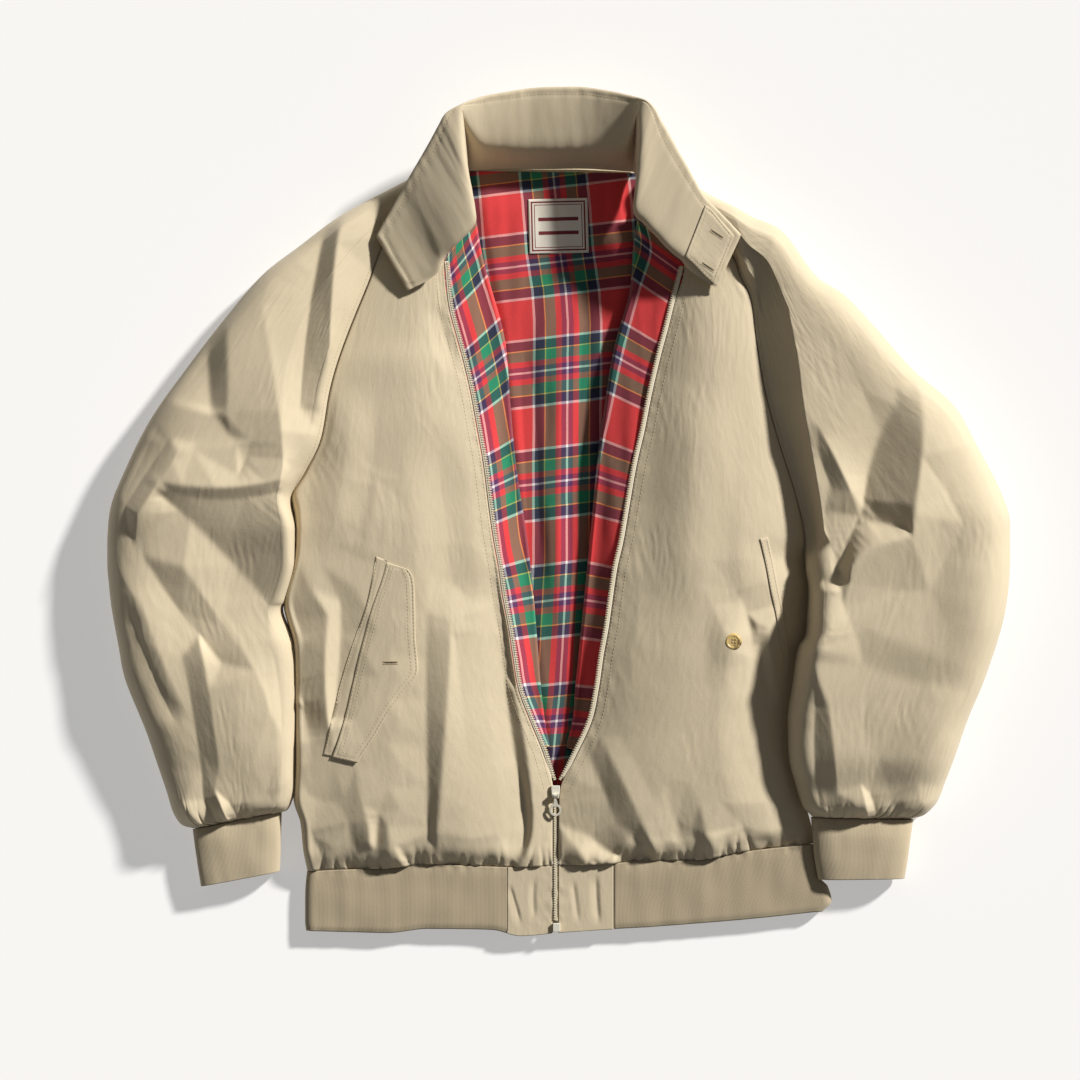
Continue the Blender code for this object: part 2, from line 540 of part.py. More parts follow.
def wall(bm, grid, other, closed_from=None):
    """Faces of a piece of cloth between two grids, closed on all its edges.

    Rows from closed_from on are rings: their last place is their first.
    """
    rows, columns = grid.shape[:2]
    sheets = []
    for places in (grid, other):
        sheet = []
        for i in range(rows):
            ring = closed_from is not None and i >= closed_from
            line = [bm.verts.new(p) for p in (places[i][:-1] if ring else places[i])]
            sheet.append(line + [line[0]] if ring else line)
        sheets.append(sheet)
    top, under = sheets
    for i in range(rows - 1):
        for j in range(columns - 1):
            one = np.linalg.norm(grid[i, j] - grid[i + 1, j + 1])
            two = np.linalg.norm(grid[i + 1, j] - grid[i, j + 1])
            corners = ((i, j), (i + 1, j), (i + 1, j + 1), (i, j + 1))
            picks = ((0, 1, 2), (0, 2, 3)) if one <= two else ((0, 1, 3), (1, 2, 3))
            for pick in picks:
                bm.faces.new([top[corners[k][0]][corners[k][1]] for k in pick])
                bm.faces.new([under[corners[k][0]][corners[k][1]] for k in reversed(pick)])
    for i in (0, rows - 1):
        for j in range(columns - 1):
            bm.faces.new((top[i][j], top[i][j + 1], under[i][j + 1], under[i][j]))
    for j in (0, columns - 1):
        last = rows - 1 if closed_from is None else closed_from
        for i in range(last):
            bm.faces.new((top[i][j], top[i + 1][j], under[i + 1][j], under[i][j]))


def hung_under(top, thickness, floor=None):
    """The under face of a laid piece: its top lowered by the thickness square to the cloth."""
    upright = np.abs(grid_normals(top)[:, :, 2])
    drop = thickness / np.clip(upright, 1 / 2.4, 1.0)
    drop[:, 0] = drop[:, -1] = thickness
    under = top.copy()
    under[:, :, 2] -= drop
    if floor is not None:
        under[:, :, 2] = np.maximum(under[:, :, 2], floor)
    return under


def hem_y(x, name="seam_y"):
    """Where the hem's seam, or its lower edge, runs at each place across."""
    return np.interp(x, column(HEM_LINE, HEM_COLUMNS, "x"), column(HEM_LINE, HEM_COLUMNS, name))


def onto_hem(plan, reach=4):
    """Bend the last stations of a body panel so that it ends on the hem's seam."""
    last = plan[-1].copy()
    chord = last[0, 1] + (last[:, 0] - last[0, 0]) * (last[-1, 1] - last[0, 1]) / (
        last[-1, 0] - last[0, 0])
    sag = hem_y(last[:, 0]) - chord
    for k in range(reach):
        plan[-1 - k, :, 1] += sag * (1 - k / reach)
    return plan


def sleeve_lines(table, hand):
    """Outer and inner plan lines of a sleeve; the raglan part is drawn in for its seam's gap."""
    outer = places(table, SLEEVE_COLUMNS, "outer")
    inner = places(table, SLEEVE_COLUMNS, "inner")
    inner[:RAGLAN_ROWS] = shifted(inner[:RAGLAN_ROWS], -hand * SEAM_GAP / 2)
    return outer, inner


def sleeve(name, table, folds, hand):
    """A raglan sleeve: sections open to the body down to the underarm, then closed rings.

    hand is 1 for the sleeve on the left and -1 for the one on the right.
    """
    outer, inner = sleeve_lines(table, hand)
    seam_z = column(table, SLEEVE_COLUMNS, "seam_z")
    loft = column(table, SLEEVE_COLUMNS, "loft")
    closed = column(table, SLEEVE_COLUMNS, "closed")
    grid = []
    for i in range(len(table)):
        width = np.linalg.norm(outer[i] - inner[i])
        roll = min(ROLL, width / 4)
        edge = np.array([0.0, 0.12, 0.45]) * roll
        below = np.concatenate((edge, [roll, width / 2, width - roll], width - edge[:0:-1]))
        across = width - np.linspace(roll, width - roll, 15)
        above = np.concatenate(([width], width - edge[1:], across, edge[::-1]))
        side_z = 0.28 * loft[i]
        inner_z = seam_z[i] * closed[i]
        bottom = np.where(below > width / 2, side_z * (1 - arch((width - below) / roll)),
                          inner_z * (1 - arch(below / roll)))
        reach = 0.46 * width
        outside = side_z + (loft[i] - side_z) * arch((width - above) / reach, 2.3)
        soft = seam_z[i] + (loft[i] - seam_z[i]) * swell(above / reach)
        upright = seam_z[i] + (loft[i] - seam_z[i]) * arch(above / reach, 2.3)
        inside = soft * (1 - closed[i]) + upright * closed[i]
        top = np.where(above > width / 2, outside, inside)
        share = np.concatenate((below, above)) / width
        plan = inner[i] + share[:, None] * (outer[i] - inner[i])
        near = np.minimum(width - above, above)
        kept = ease(near / (9.0 if closed[i] else 14.0))
        added = relief(plan[len(below):, 0], plan[len(below):, 1], folds) * kept
        floor = np.minimum(top, side_z + 3.0)
        top = np.maximum(top + added, floor)
        grid.append(np.column_stack((plan, np.concatenate((bottom, top)))))
    grid = np.array(grid)
    wrapped = closed > 0
    grid[wrapped, -1] = grid[wrapped, 0]
    normal = grid_normals(grid, wrapped) * hand
    normal[~wrapped, 0] = (0, 0, -1)
    normal[~wrapped, -1] = (0, 0, 1)
    for end in (0, -1):
        line = outer[end] - inner[end]
        along = np.array((-line[1], line[0], 0.0)) / np.linalg.norm(line)
        normal[end] -= np.outer(normal[end] @ along, along)
        normal[end] /= np.linalg.norm(normal[end], axis=1)[:, None]
    bm = bmesh.new()
    wall(bm, grid, grid - normal * SHELL, closed_from=RAGLAN_ROWS)
    return add_object(name, bm, "cotton")


def cuff(name, table, hand):
    """A rib cuff: a flattened ring, open at the hand."""
    turn = np.linspace(math.pi, -math.pi, 33)
    share = 0.5 - 0.5 * np.sign(np.cos(turn)) * np.abs(np.cos(turn)) ** 0.55
    lift = np.abs(np.sin(turn)) ** 0.62
    grid = []
    for outer, inner, top in zip(places(table, CUFF_COLUMNS, "outer"),
                                 places(table, CUFF_COLUMNS, "inner"),
                                 column(table, CUFF_COLUMNS, "top")):
        z = top / 2 * np.where(turn < 0, 1 + lift, 1 - lift)
        plan = inner + share[::-1, None] * (outer - inner)
        grid.append(np.column_stack((plan, z)))
    grid = np.array(grid)
    grid[:, -1] = grid[:, 0]
    normal = grid_normals(grid, np.ones(len(table), bool)) * hand
    line = outer - inner
    along = np.array((-line[1], line[0], 0.0)) / np.linalg.norm(line)
    for end in (0, -1):
        normal[end] -= np.outer(normal[end] @ along, along)
        normal[end] /= np.linalg.norm(normal[end], axis=1)[:, None]
    bm = bmesh.new()
    wall(bm, grid, grid + normal * RIB, closed_from=0)
    return add_object(name, bm, "rib")


def front_plan(table, sleeve_table, hand, columns):
    """Plan places of a front on its stations, from the side to the zip."""
    side = places(table, FRONT_COLUMNS, "side")
    zipped = places(table, FRONT_COLUMNS, "zip")[:, :2]
    seam = places(sleeve_table[:RAGLAN_ROWS], SLEEVE_COLUMNS, "inner")
    side[:RAGLAN_ROWS] = shifted(seam, hand * SEAM_GAP / 2)
    share = np.array((0.0, 1.0))
    if columns > 2:
        evenly = np.linspace(0.0, 1.0, columns - 3)[1:-1]
        share = np.concatenate(([0.0, 0.008, 0.025], evenly, [0.985, 1.0]))
    plan = side[:, None, :] + share[None, :, None] * (zipped - side)[:, None, :]
    return onto_hem(plan)


def front(name, table, sleeve_table, folds, hand):
    """A front: raised over the body, down onto the back at the side and open at the zip."""
    plan = front_plan(table, sleeve_table, hand, 24)
    zip_z = column(table, FRONT_COLUMNS, "zip_z")[:, None]
    loft = column(table, FRONT_COLUMNS, "loft")[:, None]
    side_z = np.full(len(table), SIDE_EDGE_Z)
    side_z[:RAGLAN_ROWS] = column(sleeve_table, SLEEVE_COLUMNS, "seam_z")[:RAGLAN_ROWS]
    side_z = side_z[:, None]
    from_side = np.linalg.norm(plan - plan[:, :1], axis=2)
    from_zip = np.linalg.norm(plan - plan[:, -1:], axis=2)
    width = from_side[:, -1:]
    rolled = np.arange(len(table))[:, None] >= RAGLAN_ROWS - 1
    up = np.where(rolled, arch(from_side / np.minimum(60.0, 0.35 * width), 2.2),
                  swell(from_side / (0.55 * width)))
    near_zip = 1 - swell(from_zip / (0.45 * width))
    top = loft - (loft - side_z) * (1 - up) - (loft - zip_z) * near_zip
    kept = ease(from_side / 10.0) * ease(from_zip / 3.0)
    top += relief(plan[:, :, 0], plan[:, :, 1], folds) * kept
    top = np.maximum(top, np.minimum(side_z, SIDE_EDGE_Z))
    grid = np.dstack((plan, top))
    bm = bmesh.new()
    wall(bm, grid, hung_under(grid, SHELL, BACK_SHELL + SEAM_GAP))
    return add_object(name, bm, "cotton")


def back():
    """The back, flat on the ground under the fronts."""
    left = front_plan(FRONT_LEFT, SLEEVE_LEFT, 1, 2)[:, 0]
    right = front_plan(FRONT_RIGHT, SLEEVE_RIGHT, -1, 2)[:, 0]
    neck = COLLAR_LINE[8][0:2], COLLAR_LINE[15][0:2]
    left = np.vstack(([neck[0]], left))
    right = np.vstack(([neck[1]], right))
    share = np.linspace(0.0, 1.0, 9)
    plan = left[:, None, :] + share[None, :, None] * (right - left)[:, None, :]
    plan = onto_hem(plan, 2)
    plan[-1, :, 1] += 6 * SEAM_GAP
    grid = np.dstack((plan, np.full(plan.shape[:2], BACK_SHELL)))
    under = grid.copy()
    under[:, :, 2] = 0.0
    bm = bmesh.new()
    wall(bm, grid, under)
    return add_object("back", bm, "cotton")


def hem_band():
    """The hem rib: one strip round the body, open at the front between the plackets."""
    side_z = HEM_TOP / 2
    roll = 8.0
    steps = np.array([0.1, 0.4, 1.0]) * roll
    grid = []
    for depth, left_x, right_x in zip(*(column(HEM_ENDS, HEM_END_COLUMNS, name)
                                        for name in HEM_END_COLUMNS)):
        to_left = np.linspace(PLACKET_LEFT_X, left_x + 12, 7)
        top_left = np.concatenate((to_left, left_x + steps[::-1]))
        under = np.concatenate((left_x + steps, np.linspace(left_x + 60, right_x - 60, 6),
                                right_x - steps[::-1]))
        top_right = np.concatenate((right_x - steps, np.linspace(right_x - 12, PLACKET_RIGHT_X, 7)))
        x = np.concatenate((top_left, [left_x], under, [right_x], top_right))
        near = np.minimum(x - left_x, right_x - x)
        above = np.ones(len(x), bool)
        above[len(top_left):len(top_left) + len(under) + 2] = False
        z = np.where(above, side_z + (HEM_TOP - side_z) * arch(near / roll),
                     side_z * (1 - arch(near / roll)))
        y = hem_y(x) * (1 - depth) + hem_y(x, "edge_y") * depth - SEAM_GAP * (1 - depth)
        grid.append(np.column_stack((x, y, z)))
    grid = np.array(grid)
    normal = grid_normals(grid)
    normal[:, 0] = normal[:, -1] = (0, 0, 1)
    normal[:, :, 1] = 0.0
    normal /= np.linalg.norm(normal, axis=2)[:, :, None]
    middle = grid[:, grid.shape[1] // 2, 2].mean()
    sign = 1.0 if normal[0, grid.shape[1] // 2, 2] < 0 and middle < side_z else -1.0
    normal[:, 1:-1] *= sign
    bm = bmesh.new()
    wall(bm, grid, grid - normal * RIB)
    return add_object("hem_band", bm, "rib")


def placket(name, start_x, end_x, folds):
    """The plain cloth at the end of the hem, beside the zip."""
    x = np.linspace(start_x, end_x, 7)
    depth = np.linspace(0.0, 1.0, 6)[:, None]
    y = (hem_y(x) - SEAM_GAP)[None, :] * (1 - depth) + hem_y(x, "edge_y")[None, :] * depth
    x = np.broadcast_to(x, y.shape)
    z = np.full(y.shape, HEM_TOP) + relief(x, y, folds)
    grid = np.dstack((x, y, z))
    bm = bmesh.new()
    wall(bm, grid, hung_under(grid, 2.4))
    return add_object(name, bm, "cotton")


def collar():
    """The stand collar: upright behind the neck, its two ends rolled over onto the shoulders."""
    grid = []
    for seam, roll, edge in zip(*(places(COLLAR_LINE, COLLAR_COLUMNS, stem)
                                  for stem in ("seam", "roll", "edge"))):
        line = []
        over = (edge - seam) * 0.5
        for a, b, run_a, run_b in ((seam, roll, roll - seam, over), (roll, edge, over, edge - roll)):
            for t in np.linspace(0.0, 1.0, 5)[:-1]:
                turned = (t ** 3 - 2 * t ** 2 + t) * run_a + (t ** 3 - t ** 2) * run_b
                line.append(a + (3 * t ** 2 - 2 * t ** 3) * (b - a) + turned * 0.8)
        line.append(edge)
        grid.append(line)
    grid = np.array(grid)
    normal = grid_normals(grid)
    bm = bmesh.new()
    wall(bm, grid + normal * COLLAR / 2, grid - normal * COLLAR / 2)
    return add_object("collar", bm, "cotton")


def lining_side(name, table, first=0, last=None):
    """The lining inside a front: level with the zip, turned under at its fold over the back.

    A piece that starts below the table's first row keeps a seam's gap from the one above it.
    """
    rows = table[first:last]
    zipped, zip_z = np.split(places(rows, LINING_COLUMNS, "zip"), [2], axis=1)
    fold, fold_z = np.split(places(rows, LINING_COLUMNS, "fold"), [2], axis=1)
    if first:
        for line in (zipped, fold):
            line[0] += SEAM_GAP * (line[1] - line[0]) / np.linalg.norm(line[1] - line[0])
    width = np.linalg.norm(fold - zipped, axis=1)[:, None]
    away = (fold - zipped) / width
    reaches = [-8.0 + 0 * width, 0 * width]
    heights = [zip_z, zip_z]
    for q in (0.3, 0.55, 0.8):
        reaches.append(q * (width - 3))
        heights.append(zip_z + (fold_z - zip_z) * ease(q) + 0.6)
    reaches += [width - 3, width - 0.8, width]
    heights += [fold_z, fold_z - 0.25 * (fold_z - 5.5), 5.5 + 0 * fold_z]
    grid = np.array([np.hstack((zipped + away * reach, z))
                     for reach, z in zip(reaches, heights)]).swapaxes(0, 1)
    bm = bmesh.new()
    wall(bm, grid, hung_under(grid, LINING))
    return add_object(name, bm, "tartan")


def lining_back():
    """The lining of the back, as far as it shows in the open front."""
    base = BACK_SHELL + LAYER_GAP + LINING
    left = places(LINING_BACK, RULED_COLUMNS, "left")
    right = places(LINING_BACK, RULED_COLUMNS, "right")
    share = np.linspace(0.0, 1.0, 15)
    plan = left[:, None, :] + share[None, :, None] * (right - left)[:, None, :]
    near = np.minimum(np.linalg.norm(plan - plan[:, :1], axis=2),
                      np.linalg.norm(plan - plan[:, -1:], axis=2))
    down = np.arange(len(LINING_BACK))[:, None] / 3.0
    rise = np.maximum(2.5 + relief(plan[:, :, 0], plan[:, :, 1], FOLDS_LINING_BACK), 0.0)
    z = base + rise * ease((near - 14) / 12) * ease(down)
    grid = np.dstack((plan, z))
    bm = bmesh.new()
    wall(bm, grid, hung_under(grid, LINING, BACK_SHELL + LAYER_GAP))
    return add_object("lining_back", bm, "tartan")


def surface_under(thing):
    """A search tree of an object's faces, in millimetres."""
    mesh = thing.data
    mesh.calc_loop_triangles()
    places = [Vector(v.co) / MM for v in mesh.vertices]
    return BVHTree.FromPolygons(places, [tuple(t.vertices) for t in mesh.loop_triangles])


def height_at(tree, x, y):
    """The top of a surface at a plan place."""
    hit = tree.ray_cast(Vector((x, y, 500.0)), Vector((0, 0, -1)))[0]
    return hit.z if hit is not None else None


def laid_on(name, rows, tree, thickness, colour, across=6, gap=LAYER_GAP):
    """A flat piece lying on a panel: its places are the panel's, moved up clear of it."""
    left, right = places(rows, RULED_COLUMNS, "left"), places(rows, RULED_COLUMNS, "right")
    share = np.linspace(0.0, 1.0, across)
    plan = left[:, None, :] + share[None, :, None] * (right - left)[:, None, :]
    low = np.zeros(plan.shape[:2])
    for i in range(plan.shape[0]):
        for j in range(plan.shape[1]):
            found = [height_at(tree, plan[i, j, 0] + dx, plan[i, j, 1] + dy)
                     for dx in (-2.5, 0.0, 2.5) for dy in (-2.5, 0.0, 2.5)]
            low[i, j] = max(z for z in found if z is not None) + gap
    grid = np.dstack((plan, low + thickness))
    bm = bmesh.new()
    wall(bm, grid, np.dstack((plan, low)))
    return add_object(name, bm, colour)


def ribbon(name, line, z, width, thick, colour):
    """A narrow flat strip along a plan line, beginning on it and reaching to its left by width."""
    near = np.array(line, float)
    away = shifted(near, width)
    top = np.stack((np.column_stack((near, z)), np.column_stack((away, z))), axis=1)
    under = top.copy()
    under[:, :, 2] -= thick
    bm = bmesh.new()
    wall(bm, top, under)
    return add_object(name, bm, colour, smooth=False)


def zip_side(name, table, hand):
    """One side of the open zip, from the neck to the slider."""
    line = places(table[ZIP_TOP_ROW:], FRONT_COLUMNS, "zip")[:, :2]
    zip_z = column(table[ZIP_TOP_ROW:], FRONT_COLUMNS, "zip_z")
    end = SLIDER_Y + 9.5
    last = int(np.nonzero(line[:, 1] > end)[0][-1])
    t = (line[last, 1] - end) / (line[last, 1] - line[last + 1, 1])
    stop = line[last] + t * (line[last + 1] - line[last])
    line = shifted(np.vstack((line[:last + 1], stop)), hand * SEAM_GAP)
    z = np.append(zip_z[:last + 1], zip_z[last] + t * (zip_z[last + 1] - zip_z[last])) - 0.3
    return ribbon(name, line, z, hand * (ZIP_WIDTH - SEAM_GAP), ZIP_THICK, "zip_tape")


def zip_chain():
    """The closed zip below the slider."""
    y = np.array((SLIDER_Y - 4, hem_y(CHAIN_X) + 22, hem_y(CHAIN_X), hem_y(CHAIN_X, "edge_y") + 9))
    z = np.array((14.2, 13.8, 12.6, 12.4))
    line = np.column_stack((np.full(4, CHAIN_X - CHAIN_WIDTH / 2), y))
    return ribbon("zip_chain", line, z, CHAIN_WIDTH, ZIP_THICK, "zip_tape")


def box(bm, centre, size):
    """Add a box to a bmesh."""
    made = bmesh.ops.create_cube(bm, size=1.0)["verts"]
    bmesh.ops.scale(bm, vec=size, verts=made)
    bmesh.ops.translate(bm, vec=centre, verts=made)
    return made


def carve(thing, cutter, operation):
    """Join or cut one object with another, and remove the other."""
    modifier = thing.modifiers.new("shape", "BOOLEAN")
    modifier.operation = operation
    modifier.solver = "EXACT"
    modifier.object = cutter
    bpy.context.view_layer.update()
    graph = bpy.context.evaluated_depsgraph_get()
    shaped = bpy.data.meshes.new_from_object(thing.evaluated_get(graph))
    thing.modifiers.clear()
    old = thing.data
    thing.data = shaped
    bpy.data.meshes.remove(old)
    bpy.data.objects.remove(cutter, do_unlink=True)


def cylinder(name, centre, radius, length, sideways=False, sides=24):
    """A plain round bar, upright or sideways along X."""
    bm = bmesh.new()
    bmesh.ops.create_cone(bm, cap_ends=True, segments=sides, radius1=radius, radius2=radius,
                          depth=length)
    if sideways:
        for v in bm.verts:
            v.co = Vector((v.co.z, v.co.y, -v.co.x))
    bmesh.ops.translate(bm, vec=centre, verts=bm.verts)
    return add_object(name, bm, "brass")


def slider():
    """The zip's slider: its body over the two edges and the bridge that holds the pull."""
    x, base = CHAIN_X, SLIDER_BASE
    wide, long, thick = SLIDER_SIZE
    outline = ((-0.5, 0.36), (-0.2, 0.42), (0.25, 0.5), (0.5, 0.44))
    ring = [(x - half * wide, SLIDER_Y + share * long) for share, half in outline]
    ring += [(x + half * wide, SLIDER_Y + share * long) for share, half in reversed(outline)]
    bm = bmesh.new()
    plate = bm.faces.new([bm.verts.new((a, b, base)) for a, b in ring])
    pushed = bmesh.ops.extrude_face_region(bm, geom=[plate])["geom"]
    raised = [v for v in pushed if isinstance(v, bmesh.types.BMVert)]
    bmesh.ops.translate(bm, vec=(0, 0, thick), verts=raised)
    bmesh.ops.recalc_face_normals(bm, faces=bm.faces)
    rim = [e for e in bm.edges if min(v.co.z for v in e.verts) > base + thick / 2]
    bmesh.ops.bevel(bm, geom=rim, offset=0.6, segments=2, profile=0.5, affect="EDGES")
    body = add_object("slider", bm, "brass", smooth=False)
    for s in (-1, 1):
        post = bmesh.new()
        box(post, (x + s * 2.55, BRIDGE_Y, base + BRIDGE_RISE - 1.0), (0.9, 2.6, 4.4))
        carve(body, add_object("post", post, "brass", smooth=False), "UNION")
    bar_at = (x, BRIDGE_Y, base + BRIDGE_RISE)
    carve(body, cylinder("bar", bar_at, BRIDGE_BAR, 5.2, sideways=True, sides=16), "UNION")
    neck = bmesh.new()
    box(neck, (x + 0.4, SLIDER_Y + 2.0, base - 0.9), (2.2, 4.0, 2.2))
    carve(body, add_object("neck", neck, "brass", smooth=False), "UNION")
    return body


def zip_pull():
    """The pull: a barrel round the bridge, an arm and a ring, hung down over the closed zip."""
    pivot = Vector((CHAIN_X, BRIDGE_Y, SLIDER_BASE + BRIDGE_RISE))
    ring_y = -(PULL_LENGTH - PULL_RING)
    bm = bmesh.new()
    turns = 30
    loops = {key: [] for key in ("in_low", "out_low", "in_high", "out_high")}
    for k in range(turns):
        a = 2 * math.pi * k / turns
        dx, dy = math.sin(a), math.cos(a)
        reach = PULL_RING
        if dy > 0:
            reach = max(reach, min(1.5 / max(abs(dx), 1e-6), (-ring_y - 1.6) / dy))
        for key, r in (("in", PULL_HOLE), ("out", reach)):
            for level, z in (("low", -PULL_THICK / 2), ("high", PULL_THICK / 2)):
                loops[key + "_" + level].append(bm.verts.new((dx * r, ring_y + dy * r, z)))
    for k in range(turns):
        n = (k + 1) % turns
        for a, b in (("in_low", "out_low"), ("out_low", "out_high"), ("out_high", "in_high"),
                     ("in_high", "in_low")):
            bm.faces.new((loops[a][k], loops[b][k], loops[b][n], loops[a][n]))
    tab = add_object("zip_pull", bm, "brass", smooth=False)
    carve(tab, cylinder("barrel", (0, 0, 0), PULL_BARREL, 3.4, sideways=True), "UNION")
    carve(tab, cylinder("eye", (0, 0, 0), PULL_EYE, 6.0, sideways=True), "DIFFERENCE")
    droop = math.radians(PULL_DROOP)
    for v in tab.data.vertices:
        y, z = v.co.y, v.co.z
        v.co.y = y * math.cos(droop) - z * math.sin(droop)
        v.co.z = z * math.cos(droop) + y * math.sin(droop)
    tab.location = pivot * MM
    return tab


def button(tree):
    """A four-hole horn button, sewn flat on the front."""
    x, y = BUTTON_CENTRE
    spots = [height_at(tree, x + dx, y + dy) for dx in (-7, 0, 7) for dy in (-7, 0, 7)]
    low = max(spots) + LAYER_GAP
    turns = [2 * math.pi * k / BUTTON_SIDES for k in range(BUTTON_SIDES)]
    bm = bmesh.new()
    rings = []
    for r, share in zip(*(column(BUTTON_PROFILE, BUTTON_COLUMNS, name) for name in BUTTON_COLUMNS)):
        z = low + share * BUTTON_THICK
        rings.append([bm.verts.new((x + r * math.cos(a), y + r * math.sin(a), z)) for a in turns])
    for a, b in zip(rings, rings[1:]):
        for k in range(BUTTON_SIDES):
            n = (k + 1) % BUTTON_SIDES
            bm.faces.new((a[k], a[n], b[n], b[k]))
    bm.faces.new(rings[0])
    bm.faces.new(rings[-1])
    disc = add_object("button", bm, "horn")
    for k in range(4):
        a = math.pi / 4 + k * math.pi / 2
        at = (x + BUTTON_PITCH * math.cos(a), y + BUTTON_PITCH * math.sin(a), low + 1.5)
        carve(disc, cylinder("hole", at, BUTTON_HOLE, 8.0, sides=10), "DIFFERENCE")
    return disc


def retainer():
    """The box at the foot of the zip."""
    bm = bmesh.new()
    x, y = RETAINER_CENTRE
    box(bm, (x, y, HEM_TOP + SEAM_GAP + RETAINER_SIZE[2] / 2), RETAINER_SIZE)
    bmesh.ops.bevel(bm, geom=list(bm.edges), offset=0.4, segments=1, affect="EDGES")
    return add_object("zip_retainer", bm, "brass", smooth=False)


def label(tree):
    """The cloth label inside the neck, left bare."""
    x, y = LABEL_CENTRE
    wide, high = LABEL_SIZE
    cos, sin = math.cos(math.radians(LABEL_TURN)), math.sin(math.radians(LABEL_TURN))
    rows = []
    for down in np.linspace(high / 2, -high / 2, 5):
        row = []
        for across in (-wide / 2, wide / 2):
            row += [x + across * cos - down * sin, y + across * sin + down * cos]
        rows.append(row)
    return laid_on("label", rows, tree, 0.9, "label", across=6)


def main():
    """Build every piece, from the back up."""
    start_empty()
    back()
    sleeve("sleeve_left", SLEEVE_LEFT, FOLDS_SLEEVE_LEFT, 1)
    sleeve("sleeve_right", SLEEVE_RIGHT, FOLDS_SLEEVE_RIGHT, -1)
    cuff("cuff_left", CUFF_LEFT, 1)
    cuff("cuff_right", CUFF_RIGHT, -1)
    left = front("front_left", FRONT_LEFT, SLEEVE_LEFT, FOLDS_FRONT_LEFT, 1)
    right = front("front_right", FRONT_RIGHT, SLEEVE_RIGHT, FOLDS_FRONT_RIGHT, -1)
    hem_band()
    placket("placket_left", PLACKET_LEFT_X + SEAM_GAP, CHAIN_X - CHAIN_WIDTH / 2 - SEAM_GAP,
            FOLDS_PLACKET)
    placket("placket_right", CHAIN_X + CHAIN_WIDTH / 2 + SEAM_GAP, PLACKET_RIGHT_X - SEAM_GAP,
            FOLDS_PLACKET)
    neck = collar()
    laid_on("collar_tab", TAB, surface_under(neck), TAB_THICK, "cotton", across=6)
    lining_side("lining_left_upper", LINING_LEFT, last=LINING_SEAM_ROW + 1)
    lining_side("lining_left_lower", LINING_LEFT, first=LINING_SEAM_ROW)
    lining_side("lining_right", LINING_RIGHT)
    inside = lining_back()
    label(surface_under(inside))
    left_face, right_face = surface_under(left), surface_under(right)
    laid_on("pocket_flap_left", FLAP, left_face, FLAP_THICK, "cotton", across=7, gap=0.9)
    laid_on("pocket_welt_left", WELT_LEFT, left_face, WELT_THICK, "cotton", across=3)
    laid_on("pocket_welt_right", WELT_RIGHT, right_face, WELT_THICK, "cotton", across=3)
    zip_side("zip_left", FRONT_LEFT, 1)
    zip_side("zip_right", FRONT_RIGHT, -1)
    zip_chain()
    slider()
    zip_pull()
    retainer()
    button(right_face)


main()
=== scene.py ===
"""Dresses a harrington jacket laid out flat: its cloth, sewing, zip, lining, light and camera.

Sizes are in millimetres, and a mesh is turned to metres when it is made. X runs to the right, Y from the
hem to the collar and Z up, as in the frame. Left and right are as seen from above.
"""
from __future__ import annotations

import logging
import math
from dataclasses import dataclass
from enum import Enum
from typing import Sequence, Union

import bmesh
import bpy
import numpy as np
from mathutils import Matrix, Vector
from mathutils.bvhtree import BVHTree
from mathutils.geometry import delaunay_2d_cdt


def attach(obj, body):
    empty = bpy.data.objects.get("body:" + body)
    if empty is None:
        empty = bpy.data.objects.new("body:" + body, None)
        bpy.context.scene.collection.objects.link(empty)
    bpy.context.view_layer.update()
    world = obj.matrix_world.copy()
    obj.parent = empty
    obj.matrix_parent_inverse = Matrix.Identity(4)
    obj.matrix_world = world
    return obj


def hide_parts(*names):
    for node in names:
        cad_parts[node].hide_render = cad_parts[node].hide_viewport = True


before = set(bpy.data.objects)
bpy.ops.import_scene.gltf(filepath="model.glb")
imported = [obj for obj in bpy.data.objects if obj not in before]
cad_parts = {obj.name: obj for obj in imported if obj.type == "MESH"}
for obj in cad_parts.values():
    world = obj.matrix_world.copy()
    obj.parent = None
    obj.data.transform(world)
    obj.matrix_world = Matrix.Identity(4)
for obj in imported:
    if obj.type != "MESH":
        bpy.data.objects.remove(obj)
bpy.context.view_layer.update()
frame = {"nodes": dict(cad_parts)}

LOG = logging.getLogger("jacket")
MM = 0.001
UV_NAME = "Cloth"

Table = Sequence[Sequence[float]]
Names = Sequence[str]

# Cloth thicknesses and the gaps that keep sewn pieces apart.
SHELL = 1.4
BACK_SHELL = 1.8
LINING = 0.9
RIB = 2.4
COLLAR = 2.4
SEAM_GAP = 0.4
LAYER_GAP = 0.5

# Heights of the laid garment.
SIDE_EDGE_Z = 4.0        # upper face of a front where it turns down onto the back at the side
ROLL = 11.0              # how far in from its edge a sleeve's rolled side reaches
HEM_TOP = 13.0           # upper face of the hem rib
LAP = 4.5                # how far a sleeve's tube lies over the body's side
TUCK = 3.2               # how far a front goes on under the sleeve at the raglan seam
TUCK_DROP = 2.3          # how far below the sleeve's face it lies there

SLEEVE_COLUMNS = ("outer_x", "outer_y", "inner_x", "inner_y", "seam_z", "loft", "closed", "crest")
